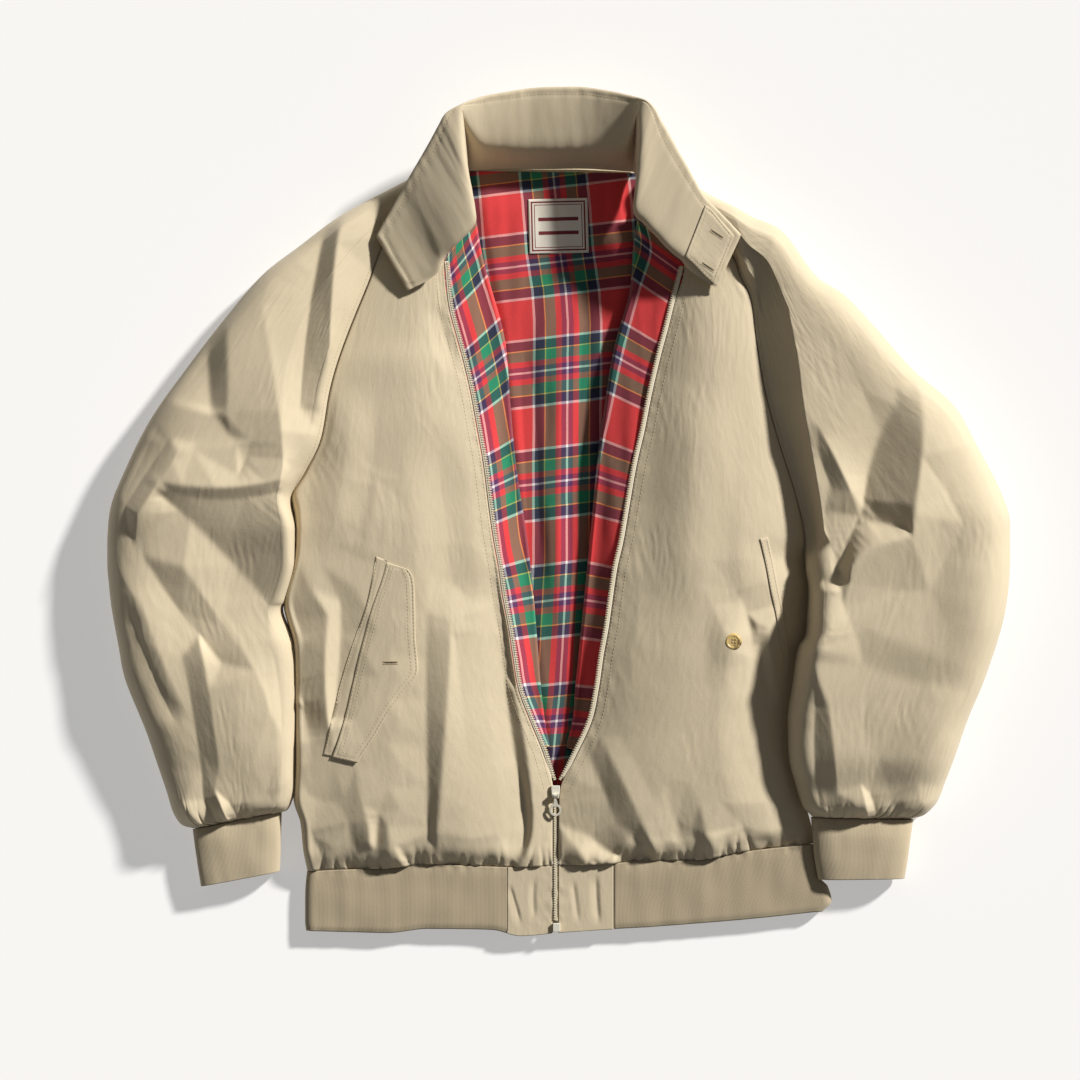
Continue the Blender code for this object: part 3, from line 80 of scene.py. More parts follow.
# Sections of a sleeve from the neck to the cuff; inner_* is the raglan seam down to the underarm,
# seam_z its height, closed 0 where the section is open to the body and 1 where it is a tube, and crest
# the share of its width at which it is up to its loft.
SLEEVE_LEFT = [
    (-94.4, 305.4, -97, 277.5, 24, 26, 0, 0.5),
    (-118.8, 296.7, -125.7, 260.1, 24, 27, 0, 0.5),
    (-150.1, 281, -150.1, 237.5, 26, 30, 0, 0.6),
    (-190.1, 259.3, -165.7, 198.4, 28, 36, 0, 0.6),
    (-224.9, 233.2, -181.4, 159.2, 31, 42, 0, 0.5),
    (-258, 207.1, -191.8, 129.6, 34, 47, 0, 0.45),
    (-290.1, 169.7, -198.8, 102.7, 36, 49, 0, 0.38),
    (-324.9, 124.4, -205.8, 63.5, 37, 51, 0, 0.27),
    (-355.4, 80.9, -218.8, 35.7, 32, 53, 0, 0.13),
    (-377.1, 37.4, -231, 11.3, 26, 54, 0, 0.06),
    (-390.2, 2.6, -231.9, -14.8, 7, 55, 1, 0.045),
    (-392.8, -40.9, -231.9, -40.9, 9, 52, 1, 0.045),
    (-391.1, -65.2, -240.5, -74, 10, 50, 1, 0.05),
    (-388.5, -86.1, -244.5, -84.4, 11, 50, 1, 0.07),
    (-383.2, -114.8, -232.7, -115.7, 11, 50, 1, 0.14),
    (-377.1, -145.3, -231, -141.8, 11, 49, 1, 0.14),
    (-359.7, -188.8, -231.9, -181.8, 11, 46, 1, 0.14),
    (-349.3, -219.2, -232.7, -213.2, 11, 43, 1, 0.14),
    (-341.5, -242.7, -233.6, -239.2, 11, 40, 1, 0.14),
    (-336.3, -260.1, -237.1, -252.3, 10, 37, 1, 0.14),
    (-329.3, -271.4, -239.7, -257.5, 10, 31, 1, 0.14),
    (-319.7, -274.9, -241.4, -259.3, 9, 25, 1, 0.14),
]
SLEEVE_RIGHT = [
    (90.9, 307.1, 90.9, 281, 24, 26, 0, 0.4),
    (126.6, 281, 123.1, 250.6, 24, 27, 0, 0.5),
    (153.6, 267.1, 150.1, 225.3, 25, 30, 0, 0.5),
    (169.2, 258.4, 158.8, 204.4, 25, 32, 0, 0.7),
    (196.2, 244.5, 167.5, 185.3, 25, 35, 0, 0.78),
    (224, 207.1, 172.7, 146.2, 25, 43, 0, 0.5),
    (249.3, 189.7, 180.5, 102.7, 24, 46, 0, 0.37),
    (274.5, 163.6, 192.7, 59.2, 22, 45, 0, 0.24),
    (308.4, 125.3, 206.6, 15.7, 19, 46, 0, 0.15),
    (344.1, 94, 215.3, -23.5, 14, 49, 0, 0.1),
    (365, 57.4, 219.7, -45.2, 8, 53, 1, 0.14),
    (384.1, 20, 222.3, -67, 10, 57, 1, 0.13),
    (392.8, -9.6, 221.4, -86.1, 11, 57, 1, 0.12),
    (392.8, -40.9, 219.7, -106.1, 12, 58, 1, 0.11),
    (387.6, -89.6, 212.7, -119.2, 12, 58, 1, 0.11),
    (371.9, -140.9, 207.5, -154, 12, 56, 1, 0.11),
    (356.3, -179.2, 204, -180.1, 12, 53, 1, 0.12),
    (345, -212.3, 204.9, -212.3, 12, 49, 1, 0.13),
    (337.1, -234, 211, -236.6, 11, 42, 1, 0.14),
    (330.2, -251.4, 217.1, -254.9, 10, 38, 1, 0.14),
    (319.7, -262.7, 223.2, -261.9, 10, 32, 1, 0.14),
    (309.3, -266.2, 225.8, -264.5, 9, 26, 1, 0.14),
]
RAGLAN_ROWS = 10     # a sleeve's sections that are open to the body
ZIP_TOP_ROW = 2      # the row of a front's table where the neck ends and the zip begins
ZIP_END_ROW = 19     # the row after the last beside the open zip

CUFF_COLUMNS = ("outer_x", "outer_y", "inner_x", "inner_y", "top")
# Rings of a cuff from the sleeve to the hand; top is the height of its upper face.
CUFF_LEFT = [
    (-318.9, -275.8, -241.4, -260.1, 23),
    (-317.1, -289.7, -241.9, -275.8, 24),
    (-314.5, -308, -242.3, -294.1, 23),
    (-311.9, -325.4, -243.2, -312.3, 21),
]
CUFF_RIGHT = [
    (309.3, -267.1, 225.8, -265.4, 24),
    (306.7, -284.5, 227.1, -281, 26),
    (304.5, -301.9, 228.4, -299.3, 25),
    (301.9, -318.4, 231.9, -319.3, 23),
]

FRONT_COLUMNS = ("side_x", "side_y", "zip_x", "zip_y", "zip_z", "loft")
# Stations of a front from the neck to the hem. Down to the underarm the side is the raglan seam, so
# its place comes from the sleeve's table and the first two columns are left at nought.
FRONT_LEFT = [
    (0, 0, -84, 274.9, 24, 26),
    (0, 0, -89.2, 247.9, 25, 27),
    (0, 0, -99.6, 218.4, 26, 29),
    (0, 0, -96.1, 181, 26, 31),
    (0, 0, -88.3, 150.5, 26, 34),
    (0, 0, -83.1, 131.4, 26, 38),
    (0, 0, -77, 105.3, 26, 39),
    (0, 0, -71.8, 76.6, 26, 40),
    (0, 0, -65.7, 41.8, 26, 40),
    (0, 0, -61.3, 7, 25, 40),
    (-231, -14.8, -57, -23.5, 25, 40),
    (-233, -40.9, -52.6, -47.9, 25, 40),
    (-240.6, -75.7, -49.2, -72.2, 24, 40),
    (-233, -110.5, -43.9, -100, 24, 39),
    (-232, -129.6, -40.5, -123.5, 23, 38),
    (-232, -150.5, -35.2, -154, 22, 37),
    (-231, -180.1, -24.8, -181.8, 20, 36),
    (-231, -213.2, -13.5, -209.7, 18, 34),
    (-231.9, -247.1, -4.8, -240.1, 16, 32),
    (-225.8, -270.6, -5.2, -267.1, 15, 29),
    (-223.2, -294.9, -5.2, -291.4, 15, 25),
    (-219.7, -312.3, -5.2, -307.1, 14, 16),
]
FRONT_RIGHT = [
    (0, 0, 77.9, 274.1, 24, 26),
    (0, 0, 90, 247.9, 25, 27),
    (0, 0, 109.2, 214, 26, 29),
    (0, 0, 101.4, 183.6, 26, 31),
    (0, 0, 95.3, 159.2, 26, 34),
    (0, 0, 89.2, 136.6, 26, 36),
    (0, 0, 81.3, 102.7, 26, 36),
    (0, 0, 75.3, 72.2, 26, 36),
    (0, 0, 68.3, 41.8, 26, 36),
    (0, 0, 62.2, 7, 25, 36),
    (218.8, -45.2, 57, -23.5, 25, 36),
    (221.4, -67, 51.8, -46.1, 25, 36),
    (220.5, -86.1, 48.3, -68.7, 24, 36),
    (218.8, -106.1, 43.9, -100, 24, 36),
    (211.8, -119.2, 39.6, -123.5, 23, 36),
    (206.6, -154, 35.2, -154, 22, 35),
    (203.1, -180.1, 29.1, -181.8, 20, 34),
    (204, -212.3, 15.2, -212.3, 18, 33),
    (210.1, -236.6, 1.3, -240.1, 16, 31),
    (216.2, -254.9, 0, -267.1, 15, 29),
    (221.4, -274.1, 0, -288.8, 15, 25),
    (224.9, -288.8, 0, -305.4, 14, 16),
]

HEM_COLUMNS = ("x", "seam_y", "edge_y")
# Where the hem rib's seam and its lower edge run.
HEM_LINE = [
    (-219.7, -312.3, -364.5),
    (-190.1, -310.6, -365.4),
    (-149.2, -309.7, -366.3),
    (-114.4, -306.2, -362.8),
    (-56.1, -308, -363.7),
    (-33.5, -308.9, -368.9),
    (-2.2, -307.1, -366.3),
    (36.1, -306.2, -363.7),
    (79.6, -302.8, -361.1),
    (115.3, -302.8, -358.4),
    (157.9, -295.8, -355),
    (192.7, -291.4, -351.5),
    (224.9, -288.8, -348),
]
PLACKET_LEFT_X = -44.8   # where the rib ends and the plain cloth beside the zip begins
PLACKET_RIGHT_X = 48.3
CHAIN_X = -2.6           # middle of the closed zip
CHAIN_WIDTH = 4.4
HEM_END_COLUMNS = ("depth", "left_x", "right_x")
# The hem rib's two rolled ends, by the share of its depth from seam to edge.
HEM_ENDS = [
    (0.0, -219.7, 224),
    (0.25, -221, 225.8),
    (0.5, -221.4, 228.4),
    (0.62, -221.4, 235.3),
    (0.85, -221.4, 238.8),
    (1.0, -220.5, 231),
]

FOLD_COLUMNS = ("x0", "y0", "x1", "y1", "x2", "y2", "rise", "left", "right", "sharp", "fade")
# Folds and gathers: a line through three places, how high it stands (below nought: a trough), how far
# it spreads to the left and right of its way, how sharp its crest is and the share it fades over.
FOLDS_SLEEVE_LEFT = [
    (-376.3, -67.9, -351.9, -134.8, -327.6, -187.1, -4, 14, 20, 0.4, 0.2),
    (-277.1, -84.4, -275.4, -162.7, -280.6, -236.6, 4, 40, 60, 0.2, 0.3),
]
FOLDS_SLEEVE_RIGHT = [
    (362.4, 37.4, 371.1, -40.9, 340.6, -145.3, 5, 40, 50, 0.2, 0.3),
]
FOLDS_FRONT_LEFT = [
    (-108.3, 185.3, -99.6, 154.9, -89.2, 119.2, -2, 10, 16, 0.3, 0.3),
    (-179.7, 115.7, -185.7, 37.4, -200.5, -40.9, 4, 26, 30, 0.2, 0.3),
    (-111.8, 80.9, -97.9, -6.1, -89.2, -110.5, -3, 26, 30, 0.2, 0.3),
]
FOLDS_FRONT_RIGHT = [
    (150.1, 227.1, 157.9, 206.2, 168.3, 185.3, 3, 8, 10, 0.5, 0.2),
    (123.1, 115.7, 114.4, 11.3, 109.2, -93.1, 4, 40, 40, 0.2, 0.3),
    (150.9, -70, 150.9, -111.4, 150.9, -155, 3.6, 26, 26, 0, 0.5),
]
# Creases of the plain cloth beside the zip.
FOLDS_PLACKET = [
    (-43.5, -322, -38, -340, -32, -362, -1.0, 3, 7, 0.7, 0.3),
    (32.6, -312.3, 33.4, -336.7, 35.5, -361.1, -1.4, 4, 7, 0.6, 0.3),
    (12, -318, 15, -338, 18, -360, -0.9, 4, 5, 0.6, 0.3),
    (-20, -316, -22, -336, -20, -358, -0.9, 4, 5, 0.6, 0.3),
]
FOLDS_LINING_BACK = [
    (-33.5, 185.3, -24.8, 54.8, -16.1, -110.5, -3, 14, 14, 0.3, 0.3),
    (1.3, 159.2, -0.4, 28.7, -2.2, -162.7, 3, 12, 12, 0.3, 0.3),
    (29.1, 220.1, 23.1, 115.7, 15.2, -6.1, -3, 12, 12, 0.3, 0.3),
]

CREASE_STEP = 0.87              # the crease tables count places in steps of this, right and down
CREASE_ORIGIN = (558.5, 513.0)  # from the layout's upper left corner, which puts X and Y nought here
CREASE_PACE = 6.0               # between the places along a crease
GATHER_WIDTH = 13.0             # between the gathers at a tight seam, about
CREASE_COLUMNS = ("x0", "y0", "x1", "y1", "x2", "y2", "rise0", "rise1", "rise2")
# Sharp creases that the cloth hangs between: a line through three places with the height at each.
CREASES_SLEEVE_LEFT = [
    (343, 216, 334, 300, 331, 402, 6, 10, 8),
    (327, 226, 310, 320, 302, 408, -3, -4, -3),
    (368, 310, 354, 360, 345, 392, 1, -2, -1),
    (333, 412, 318, 445, 300, 478, 3, 5, 3),
    (260, 285, 276, 372, 288, 460, 1, 4, 6),
    (262, 285, 280, 272, 300, 262, 1, 1, 0),
    (213, 324, 211, 368, 214, 408, -3, -6, -5),
    (227, 312, 231, 366, 230, 418, 2, 3, 1),
    (213, 416, 203, 438, 195, 457, -2, -3, -1),
    (218, 415, 230, 432, 240, 446, -2, -3, -1),
    (253, 442, 248, 461, 241, 476, 0, -2, 1),
    (161, 481, 220, 488, 286, 480, 1.5, 6, 9),
    (172, 492, 222, 500, 282, 493, -1, 0.5, 4),
    (291, 488, 294, 540, 292, 600, 8, 3, -4),
    (166, 497, 207, 534, 242, 572, -4, -8, -9),
    (242, 572, 270, 604, 288, 640, -9, -8, -3),
    (226, 624, 258, 670, 272, 710, -4, 0, 2),
    (132, 530, 175, 600, 225, 662, -4, -6, -5),
    (173, 440, 152, 470, 128, 507, -3, -6, -3),
    (183, 452, 165, 480, 142, 514, 1, 2, 2),
    (140, 600, 152, 650, 172, 692, 1, 3, 1),
    (204, 640, 214, 700, 222, 762, 1, 3, 2),
    (186, 655, 196, 710, 204, 770, -1, -2, -2),
    (270, 640, 280, 680, 284, 742, -3, -5, -2),
    (184, 800, 192, 812, 200, 823, 2, 3, 1),
    (205, 798, 212, 810, 218, 823, -3, -5, -4),
    (217, 788, 223, 803, 228, 818, 1, 3, 2),
    (232, 803, 236, 811, 240, 819, -2, -4, -3),
    (254, 801, 258, 810, 262, 818, -2, -4, -3),
    (268, 790, 276, 802, 283, 813, -2, -4, -3),
]
CREASES_SLEEVE_RIGHT = [
    (794, 245, 802, 310, 812, 370, 0, 0, 0),
    (808, 414, 829, 452, 848, 492, 2, 3, 2),
    (816, 452, 822, 470, 830, 490, -1, -3, -3),
    (740, 238, 746, 266, 756, 292, 8, 9, 2),
    (774, 236, 767, 262, 759, 290, 6, 6, 1),
    (822, 512, 829, 545, 837, 574, -5, -10, -8),
    (860, 512, 851, 530, 841, 556, -9, -10, -9),
    (915, 380, 918, 440, 907, 522, 2, 10, 9),
    (901, 396, 874, 445, 860, 508, 1, -7, -8),
    (858, 522, 880, 524, 902, 526, -8, -6, 1),
    (845, 582, 858, 552, 906, 536, 5, 9, 8),
    (815, 590, 826, 590, 838, 589, 6, 5, 3),
    (815, 582, 822, 581, 829, 580, -3, -5, -6),
    (812, 600, 812, 630, 808, 660, 9, 11, 5),
    (838, 600, 846, 620, 855, 640, 3, 2, 0),
    (860, 625, 898, 642, 940, 657, 1, 2, 1),
    (858, 660, 898, 676, 943, 684, -1, -2, -1),
    (962, 690, 932, 736, 914, 782, 1, 3, 1),
    (985, 560, 978, 640, 955, 720, 0, 2, 1),
    (813, 702, 812, 752, 819, 804, -2, -4, -3),
    (825, 706, 831, 750, 835, 792, 2, 3, 2),
    (858, 782, 863, 800, 866, 816, 1, 3, 1),
    (868, 793, 872, 804, 876, 816, -2, -4, -3),
    (888, 793, 893, 806, 897, 817, -2, -4, -3),
    (918, 799, 926, 808, 935, 816, 1, 2, 1),
    (945, 330, 965, 400, 985, 452, 0, 2, 1),
    (860, 300, 872, 345, 893, 385, 0, 2, 0),
]
CREASES_FRONT_LEFT = [
    (488, 560, 498, 625, 506, 690, -1, -4.5, -6.5),
    (506, 690, 512, 735, 518, 770, -6.5, -8, -8),
    (518, 770, 524, 800, 526, 832, -8, -8.5, -7),
    (526, 832, 521, 853, 507, 868, -7, -6, -2),
    (513, 690, 526, 748, 531, 800, -1.5, 0, 0.5),
    (531, 800, 531, 838, 516, 870, 0.5, 0, 0),
    (478, 620, 486, 690, 497, 770, -1.5, -3.4, -4.4),
    (497, 770, 501, 805, 500, 835, -4.4, -4.5, -3.4),
    (455, 640, 462, 700, 472, 780, 0, -0.8, -1.2),
    (341, 600, 341, 645, 335, 716, -3, -4, -3),
    (330, 615, 327, 680, 333, 742, 2, 4, 2),
    (293, 605, 299, 622, 306, 640, -5, -5, -1),
    (294, 680, 299, 692, 304, 705, -4, -4, -1),
    (303, 700, 307, 720, 311, 742, -3, -5, -1),
    (430, 575, 456, 586, 478, 610, -1, -3, -1),
    (452, 620, 447, 715, 437, 832, 1, 3, 2),
    (427, 612, 427, 720, 429, 834, -2, -4, -3),
    (305, 788, 324, 801, 346, 797, -2, -4, -2),
    (361, 798, 368, 820, 371, 842, 1, 2, 2),
    (350, 822, 354, 844, 365, 866, -1, -4, -4),
    (311, 830, 318, 848, 327, 869, -3, -6, -5),
    (332, 846, 336, 857, 342, 869, -3, -5, -4),
    (380, 812, 377, 830, 375, 850, -1, -3, -3),
    (388, 826, 389, 842, 390, 860, 1, 2, 2),
    (402, 853, 408, 859, 418, 862, -2, -3, -3),
    (437, 852, 443, 858, 451, 862, -2, -3, -3),
    (395, 845, 400, 856, 402, 868, 2, 3, 2),
    (470, 838, 476, 852, 480, 868, 0, -3, -3),
    (380, 470, 372, 520, 362, 560, 0, 2, 0),
]
CREASES_FRONT_RIGHT = [
    (590, 757, 606, 796, 626, 843, -2, -3, -2),
    (600, 738, 622, 780, 654, 850, 0, 2, 1),
    (630, 832, 643, 847, 652, 863, -2, -4, -3),
    (665, 840, 668, 852, 672, 863, -2, -4, -3),
    (676, 818, 679, 834, 682, 852, -3, -5, -3),
    (692, 830, 696, 842, 698, 856, -3, -4, -3),
    (705, 832, 710, 842, 712, 856, 1, 3, 2),
    (742, 826, 745, 838, 746, 851, -3, -5, -3),
    (769, 834, 770, 842, 771, 850, -2, -4, -3),
    (579, 851, 594, 864, 616, 858, 3, 5, 2),
    (590, 836, 604, 849, 619, 857, -3, -6, -4),
    (755, 622, 762, 660, 771, 716, 0, -3, 0),
    (768, 628, 772, 665, 779, 700, 1, 2, 0),
    (765, 735, 780, 762, 795, 780, 1, 3, 1),
    (640, 560, 634, 650, 618, 735, 0, 1, 0),
    (735, 590, 748, 620, 752, 660, -2, -5, -3),
]

COLLAR_COLUMNS = ("seam_x", "seam_y", "seam_z", "roll_x", "roll_y", "roll_z",
                  "edge_x", "edge_y", "edge_z")
# Stations of the collar from its left end round the back of the neck to its right end: the neck seam,
# the roll where it turns over, and the outer edge.
COLLAR_LINE = [
    (-130.9, 192.3, 36, -136.2, 201.8, 37, -157.9, 239.2, 38),
    (-115.3, 200.1, 37, -120.5, 209.7, 39, -147.5, 257.5, 41),
    (-104, 208.8, 38, -108.3, 218.4, 42, -137.9, 274.1, 44),
    (-99.6, 220.1, 36, -101.4, 228.8, 46.5, -129.2, 288.8, 48),
    (-90, 239.2, 32, -86.6, 239.2, 51, -119.6, 304.5, 52),
    (-79.6, 260.1, 27, -73.5, 256.6, 53, -110.9, 319.3, 56),
    (-79.6, 279.3, 17, -76.1, 278.4, 54, -104, 331.5, 59),
    (-80.5, 297.5, 8, -80.5, 305.4, 56, -97, 342.8, 61),
    (-79.6, 300.1, 4, -83.1, 340.2, 55, -85.7, 349.7, 60),
    (-66.6, 301, 4, -68.6, 322, 39, -68.3, 357.6, 52),
    (-46.5, 301.9, 4, -47.4, 319, 33, -46.5, 362.8, 46),
    (-16.1, 301.9, 4, -17.8, 318, 30, -20.4, 367.1, 42),
    (14.4, 301.9, 4, 14.4, 318, 30, 14.4, 368, 42),
    (40.5, 301, 4, 41.3, 318, 33, 44.8, 363.7, 46),
    (57.9, 300.1, 4, 58.7, 320, 40, 64.8, 358.4, 52),
    (65.7, 299.3, 4, 67.4, 340.2, 53, 75.3, 354.1, 60),
    (67.4, 297.5, 8, 69.2, 314.1, 55, 82.2, 348, 59),
    (70, 283.6, 16, 68.3, 288.8, 53, 87.4, 338.4, 57),
    (71.8, 261, 26, 66.6, 265.4, 50, 94.4, 327.1, 54),
    (79.6, 251.4, 30, 74.4, 255.8, 48, 102.2, 313.2, 51),
    (89.2, 241, 32, 84.8, 245.3, 46, 110.1, 300.1, 49),
    (100.5, 227.9, 32, 97, 232.3, 45, 117.9, 286.2, 47),
    (109.2, 216.6, 35, 109.2, 224.5, 43.5, 125.7, 273.2, 45),
    (113.5, 209.7, 37, 117.9, 219.2, 41, 137, 261.9, 42),
    (124.8, 201.8, 37, 128.3, 210.5, 39, 148.3, 250.6, 40),
    (137, 194, 36, 140.5, 202.7, 37, 157.9, 240.1, 38),
]
NECK_STATIONS = (8, 15)   # the collar's stations at the two ends of the back's neck

RULED_COLUMNS = ("left_x", "left_y", "right_x", "right_y")
# The collar's buttoning tab, by lines across it.
TAB = [
    (126.6, 265.4, 109.2, 221),
    (132.7, 261, 115.3, 215.8),
    (138.8, 254, 121.4, 209.7),
    (144.9, 247.1, 127.5, 203.6),
    (151.8, 239.2, 134.4, 197.5),
]

LINING_COLUMNS = ("zip_x", "zip_y", "zip_z", "fold_x", "fold_y", "fold_z")
# The lining that shows inside each front, from the zip to the fold it turns under at.
LINING_LEFT = [
    (-92.7, 258.4, 21, -75.3, 272.3, 12),
    (-99.6, 218.4, 21, -71.8, 255.8, 12),
    (-97.9, 192.3, 21, -64.8, 218.4, 12),
    (-84.8, 140.1, 21, -47.4, 154.9, 11),
    (-73.5, 87.9, 21, -42.2, 98.3, 11),
    (-64.8, 33.1, 22, -37, 41.8, 10),
    (-56.1, -33.9, 21, -28.3, -14.8, 10),
    (-49.2, -72.2, 20, -22.2, -67, 10),
    (-40.5, -123.5, 18, -17.8, -119.2, 9),
    (-35.2, -154, 16.5, -15.2, -152.2, 9),
    (-24.8, -181.8, 13.5, -11.7, -181.8, 8),
    (-16.1, -204.4, 10.5, -7.4, -204.4, 8),
]
LINING_RIGHT = [
    (91.8, 254.9, 22, 72.6, 275.8, 14),
    (109.2, 213.2, 23.4, 65.7, 237.5, 16.5),
    (102.2, 185.3, 24, 62.2, 194, 17),
    (89.2, 137.5, 24, 48.3, 143.6, 17),
    (77.9, 85.3, 24, 39.6, 89.6, 16.5),
    (67.4, 37.4, 24, 33.5, 41.8, 16.5),
    (55.2, -29.6, 23, 27.4, -23.5, 15.5),
    (48.3, -68.7, 22, 23.1, -67, 14.5),
    (39.6, -123.5, 20.8, 17.8, -120.9, 13.5),
    (35.2, -154, 19.6, 14.4, -154, 12.5),
    (29.1, -181.8, 17, 12.6, -178.3, 11),
    (16.1, -207.9, 12, 6.5, -204.4, 8.5),
]
# The lining of the back between the two fronts, by lines across it from the neck down.
LINING_BACK = [
    (-78.7, 299.3, 67.4, 297.5),
    (-84, 268, 74.4, 268),
    (-77, 220.1, 81.3, 218.4),
    (-64.8, 154.9, 65.7, 154.9),
    (-59.6, 98.3, 57, 98.3),
    (-52.6, 37.4, 50, 37.4),
    (-43.9, -19.1, 43.1, -19.1),
    (-37, -75.7, 37.8, -75.7),
    (-33.5, -127.9, 32.6, -127.9),
    (-28.3, -180.1, 25.7, -180.1),
    (-21.3, -241, 15.2, -241),
]
LABEL_CENTRE = (0, 251)
LABEL_SIZE = (52.0, 48.0)
LABEL_TURN = 1.5

# The pocket flap and the pockets' welts, by lines across them.
FLAP = [
    (-148.3, -42.6, -130.1, -48.7),
    (-152.7, -58.3, -125.3, -57.4),
    (-161.4, -82.7, -124, -82.7),
    (-167.9, -106.1, -123.5, -108.8),
    (-174.4, -131.4, -121.4, -135.7),
    (-179.2, -152.2, -132.7, -153.1),
    (-184, -173.1, -146.6, -172.3),
    (-189.2, -192.3, -157.9, -191.4),
    (-195.8, -211.4, -174.4, -216.6),
]
WELT_LEFT = [
    (-157.9, -37.4, -147, -41.8),
    (-161.4, -58.3, -151.1, -58.3),
    (-167, -82.7, -159.8, -82.7),
    (-175.3, -106.1, -166.4, -106.1),
    (-184, -131.4, -172.9, -131.4),
    (-190.1, -152.2, -177.7, -152.2),
    (-195.3, -173.1, -182.4, -173.1),
    (-199.7, -192.3, -187.7, -192.3),
    (-204, -209.7, -194.2, -211.4),
]
WELT_RIGHT = [
    (174.4, -22.6, 181.4, -20.9),
    (179.7, -45.2, 186.6, -43.5),
    (184, -67.9, 191, -66.1),
    (188.4, -87, 195.3, -85.3),
    (191.8, -106.1, 198.4, -104.4),
    (196.2, -124.4, 201.4, -123.5),
    (198.8, -141.8, 202.3, -141.8),
]
BUTTON = (150.9, -111.4)   # the button's middle


# ---------------------------------------------------------------- numbers


def column(table: Table, names: Names, name: str) -> np.ndarray:
    """One named column of a table."""
    return np.array([row[names.index(name)] for row in table], float)


def places(table: Table, names: Names, stem: str) -> np.ndarray:
    """A table's places of one kind, such as its seam's.

    Args:
        table: Rows of numbers.
        names: The table's column names.
        stem: The kind of place, such as "seam" for the columns seam_x and seam_y.

    Returns:
        One row a place: x, y and, where the table has one, z.
    """
    axes = [f"{stem}_{axis}" for axis in "xyz" if f"{stem}_{axis}" in names]
    return np.column_stack([column(table, names, name) for name in axes])


def between(values: np.ndarray, at: np.ndarray) -> np.ndarray:
    """Reads a table between its rows, on a curve that doesn't swing past them.

    Args:
        values: One row of numbers a station.
        at: Row numbers, with fractions.

    Returns:
        One row of numbers for each place in at.
    """
    values = values.reshape(len(values), -1)
    steps = np.diff(values, axis=0)
    slope = np.zeros_like(values)
    slope[0], slope[-1] = steps[0], steps[-1]
    mean = (steps[1:] + steps[:-1]) / 2
    most = 3 * np.minimum(np.abs(steps[1:]), np.abs(steps[:-1]))
    turns = steps[1:] * steps[:-1] <= 0
    slope[1:-1] = np.where(turns, 0.0, np.sign(mean) * np.minimum(np.abs(mean), most))
    k = np.clip(at.astype(int), 0, len(values) - 2)
    t = (at - k)[:, None]
    rise = values[k] + (3 * t ** 2 - 2 * t ** 3) * steps[k]
    return rise + (t ** 3 - 2 * t ** 2 + t) * slope[k] + (t ** 3 - t ** 2) * slope[k + 1]


def read(table: Table, names: Names, at: np.ndarray, *wanted: str) -> list[np.ndarray]:
    """Columns of a table, read between its rows."""
    return [between(column(table, names, name), at) for name in wanted]


def gone_along(line: np.ndarray) -> np.ndarray:
    """How far along a line each of its places is."""
    return np.concatenate(([0.0], np.cumsum(np.linalg.norm(np.diff(line, axis=0), axis=1))))


def on_line(line: np.ndarray, gone: np.ndarray, at: float) -> np.ndarray:
    """The place so far along a line; gone says how far along its own places are."""
    return np.array([np.interp(at, gone, axis) for axis in line.T])


def ruled_grid(left: np.ndarray, right: np.ndarray, share: np.ndarray) -> np.ndarray:
    """Places at shares of the way between two lines, the same shares for every row or its own."""
    return left[:, None] + np.atleast_2d(share)[:, :, None] * (right - left)[:, None]


def evenly(line: np.ndarray, count: int) -> np.ndarray:
    """Row numbers that cut a line of stations into steps of one length."""
    gone = gone_along(line)
    return np.interp(np.linspace(0.0, gone[-1], count), gone, np.arange(len(line)))


def arch(q: np.ndarray, power: float = 2.0) -> np.ndarray:
    """From 0 at an edge to 1 at its reach, upright at the edge and level at the top."""
    q = np.clip(q, 0.0, 1.0)
    return (1.0 - (1.0 - q) ** power) ** (1.0 / power)


def swell(q: np.ndarray) -> np.ndarray:
    """From 0 at an edge to 1 at its reach, sloping away from the edge."""
    return np.sin(np.clip(q, 0.0, 1.0) * math.pi / 2)


def ease(q: np.ndarray) -> np.ndarray:
    """From 0 to 1, level at both ends."""
    q = np.clip(q, 0.0, 1.0)
    return q * q * (3.0 - 2.0 * q)


def grain(x: np.ndarray, y: np.ndarray, cell: tuple[float, float], seed: int) -> np.ndarray:
    """Smooth noise from about -1 to 1 over a plane, its cells as long and as wide as asked.

    Args:
        x: Places across.
        y: Places along.
        cell: Width and length of a cell.
        seed: Which noise.

    Returns:
        The noise at each place.
    """
    turn = np.random.default_rng(seed).uniform(0, 2 * math.pi, (256, 256))
    u, v = x / cell[0], y / cell[1]
    i, j = np.floor(u).astype(int), np.floor(v).astype(int)
    total = np.zeros_like(u)
    for di in (0, 1):
        for dj in (0, 1):
            du, dv = u - i - di, v - j - dj
            angle = turn[(i + di) % 256, (j + dj) % 256]
            near = ease(1 - np.abs(du)) * ease(1 - np.abs(dv))
            total += near * (np.cos(angle) * du + np.sin(angle) * dv)
    return total * 1.7


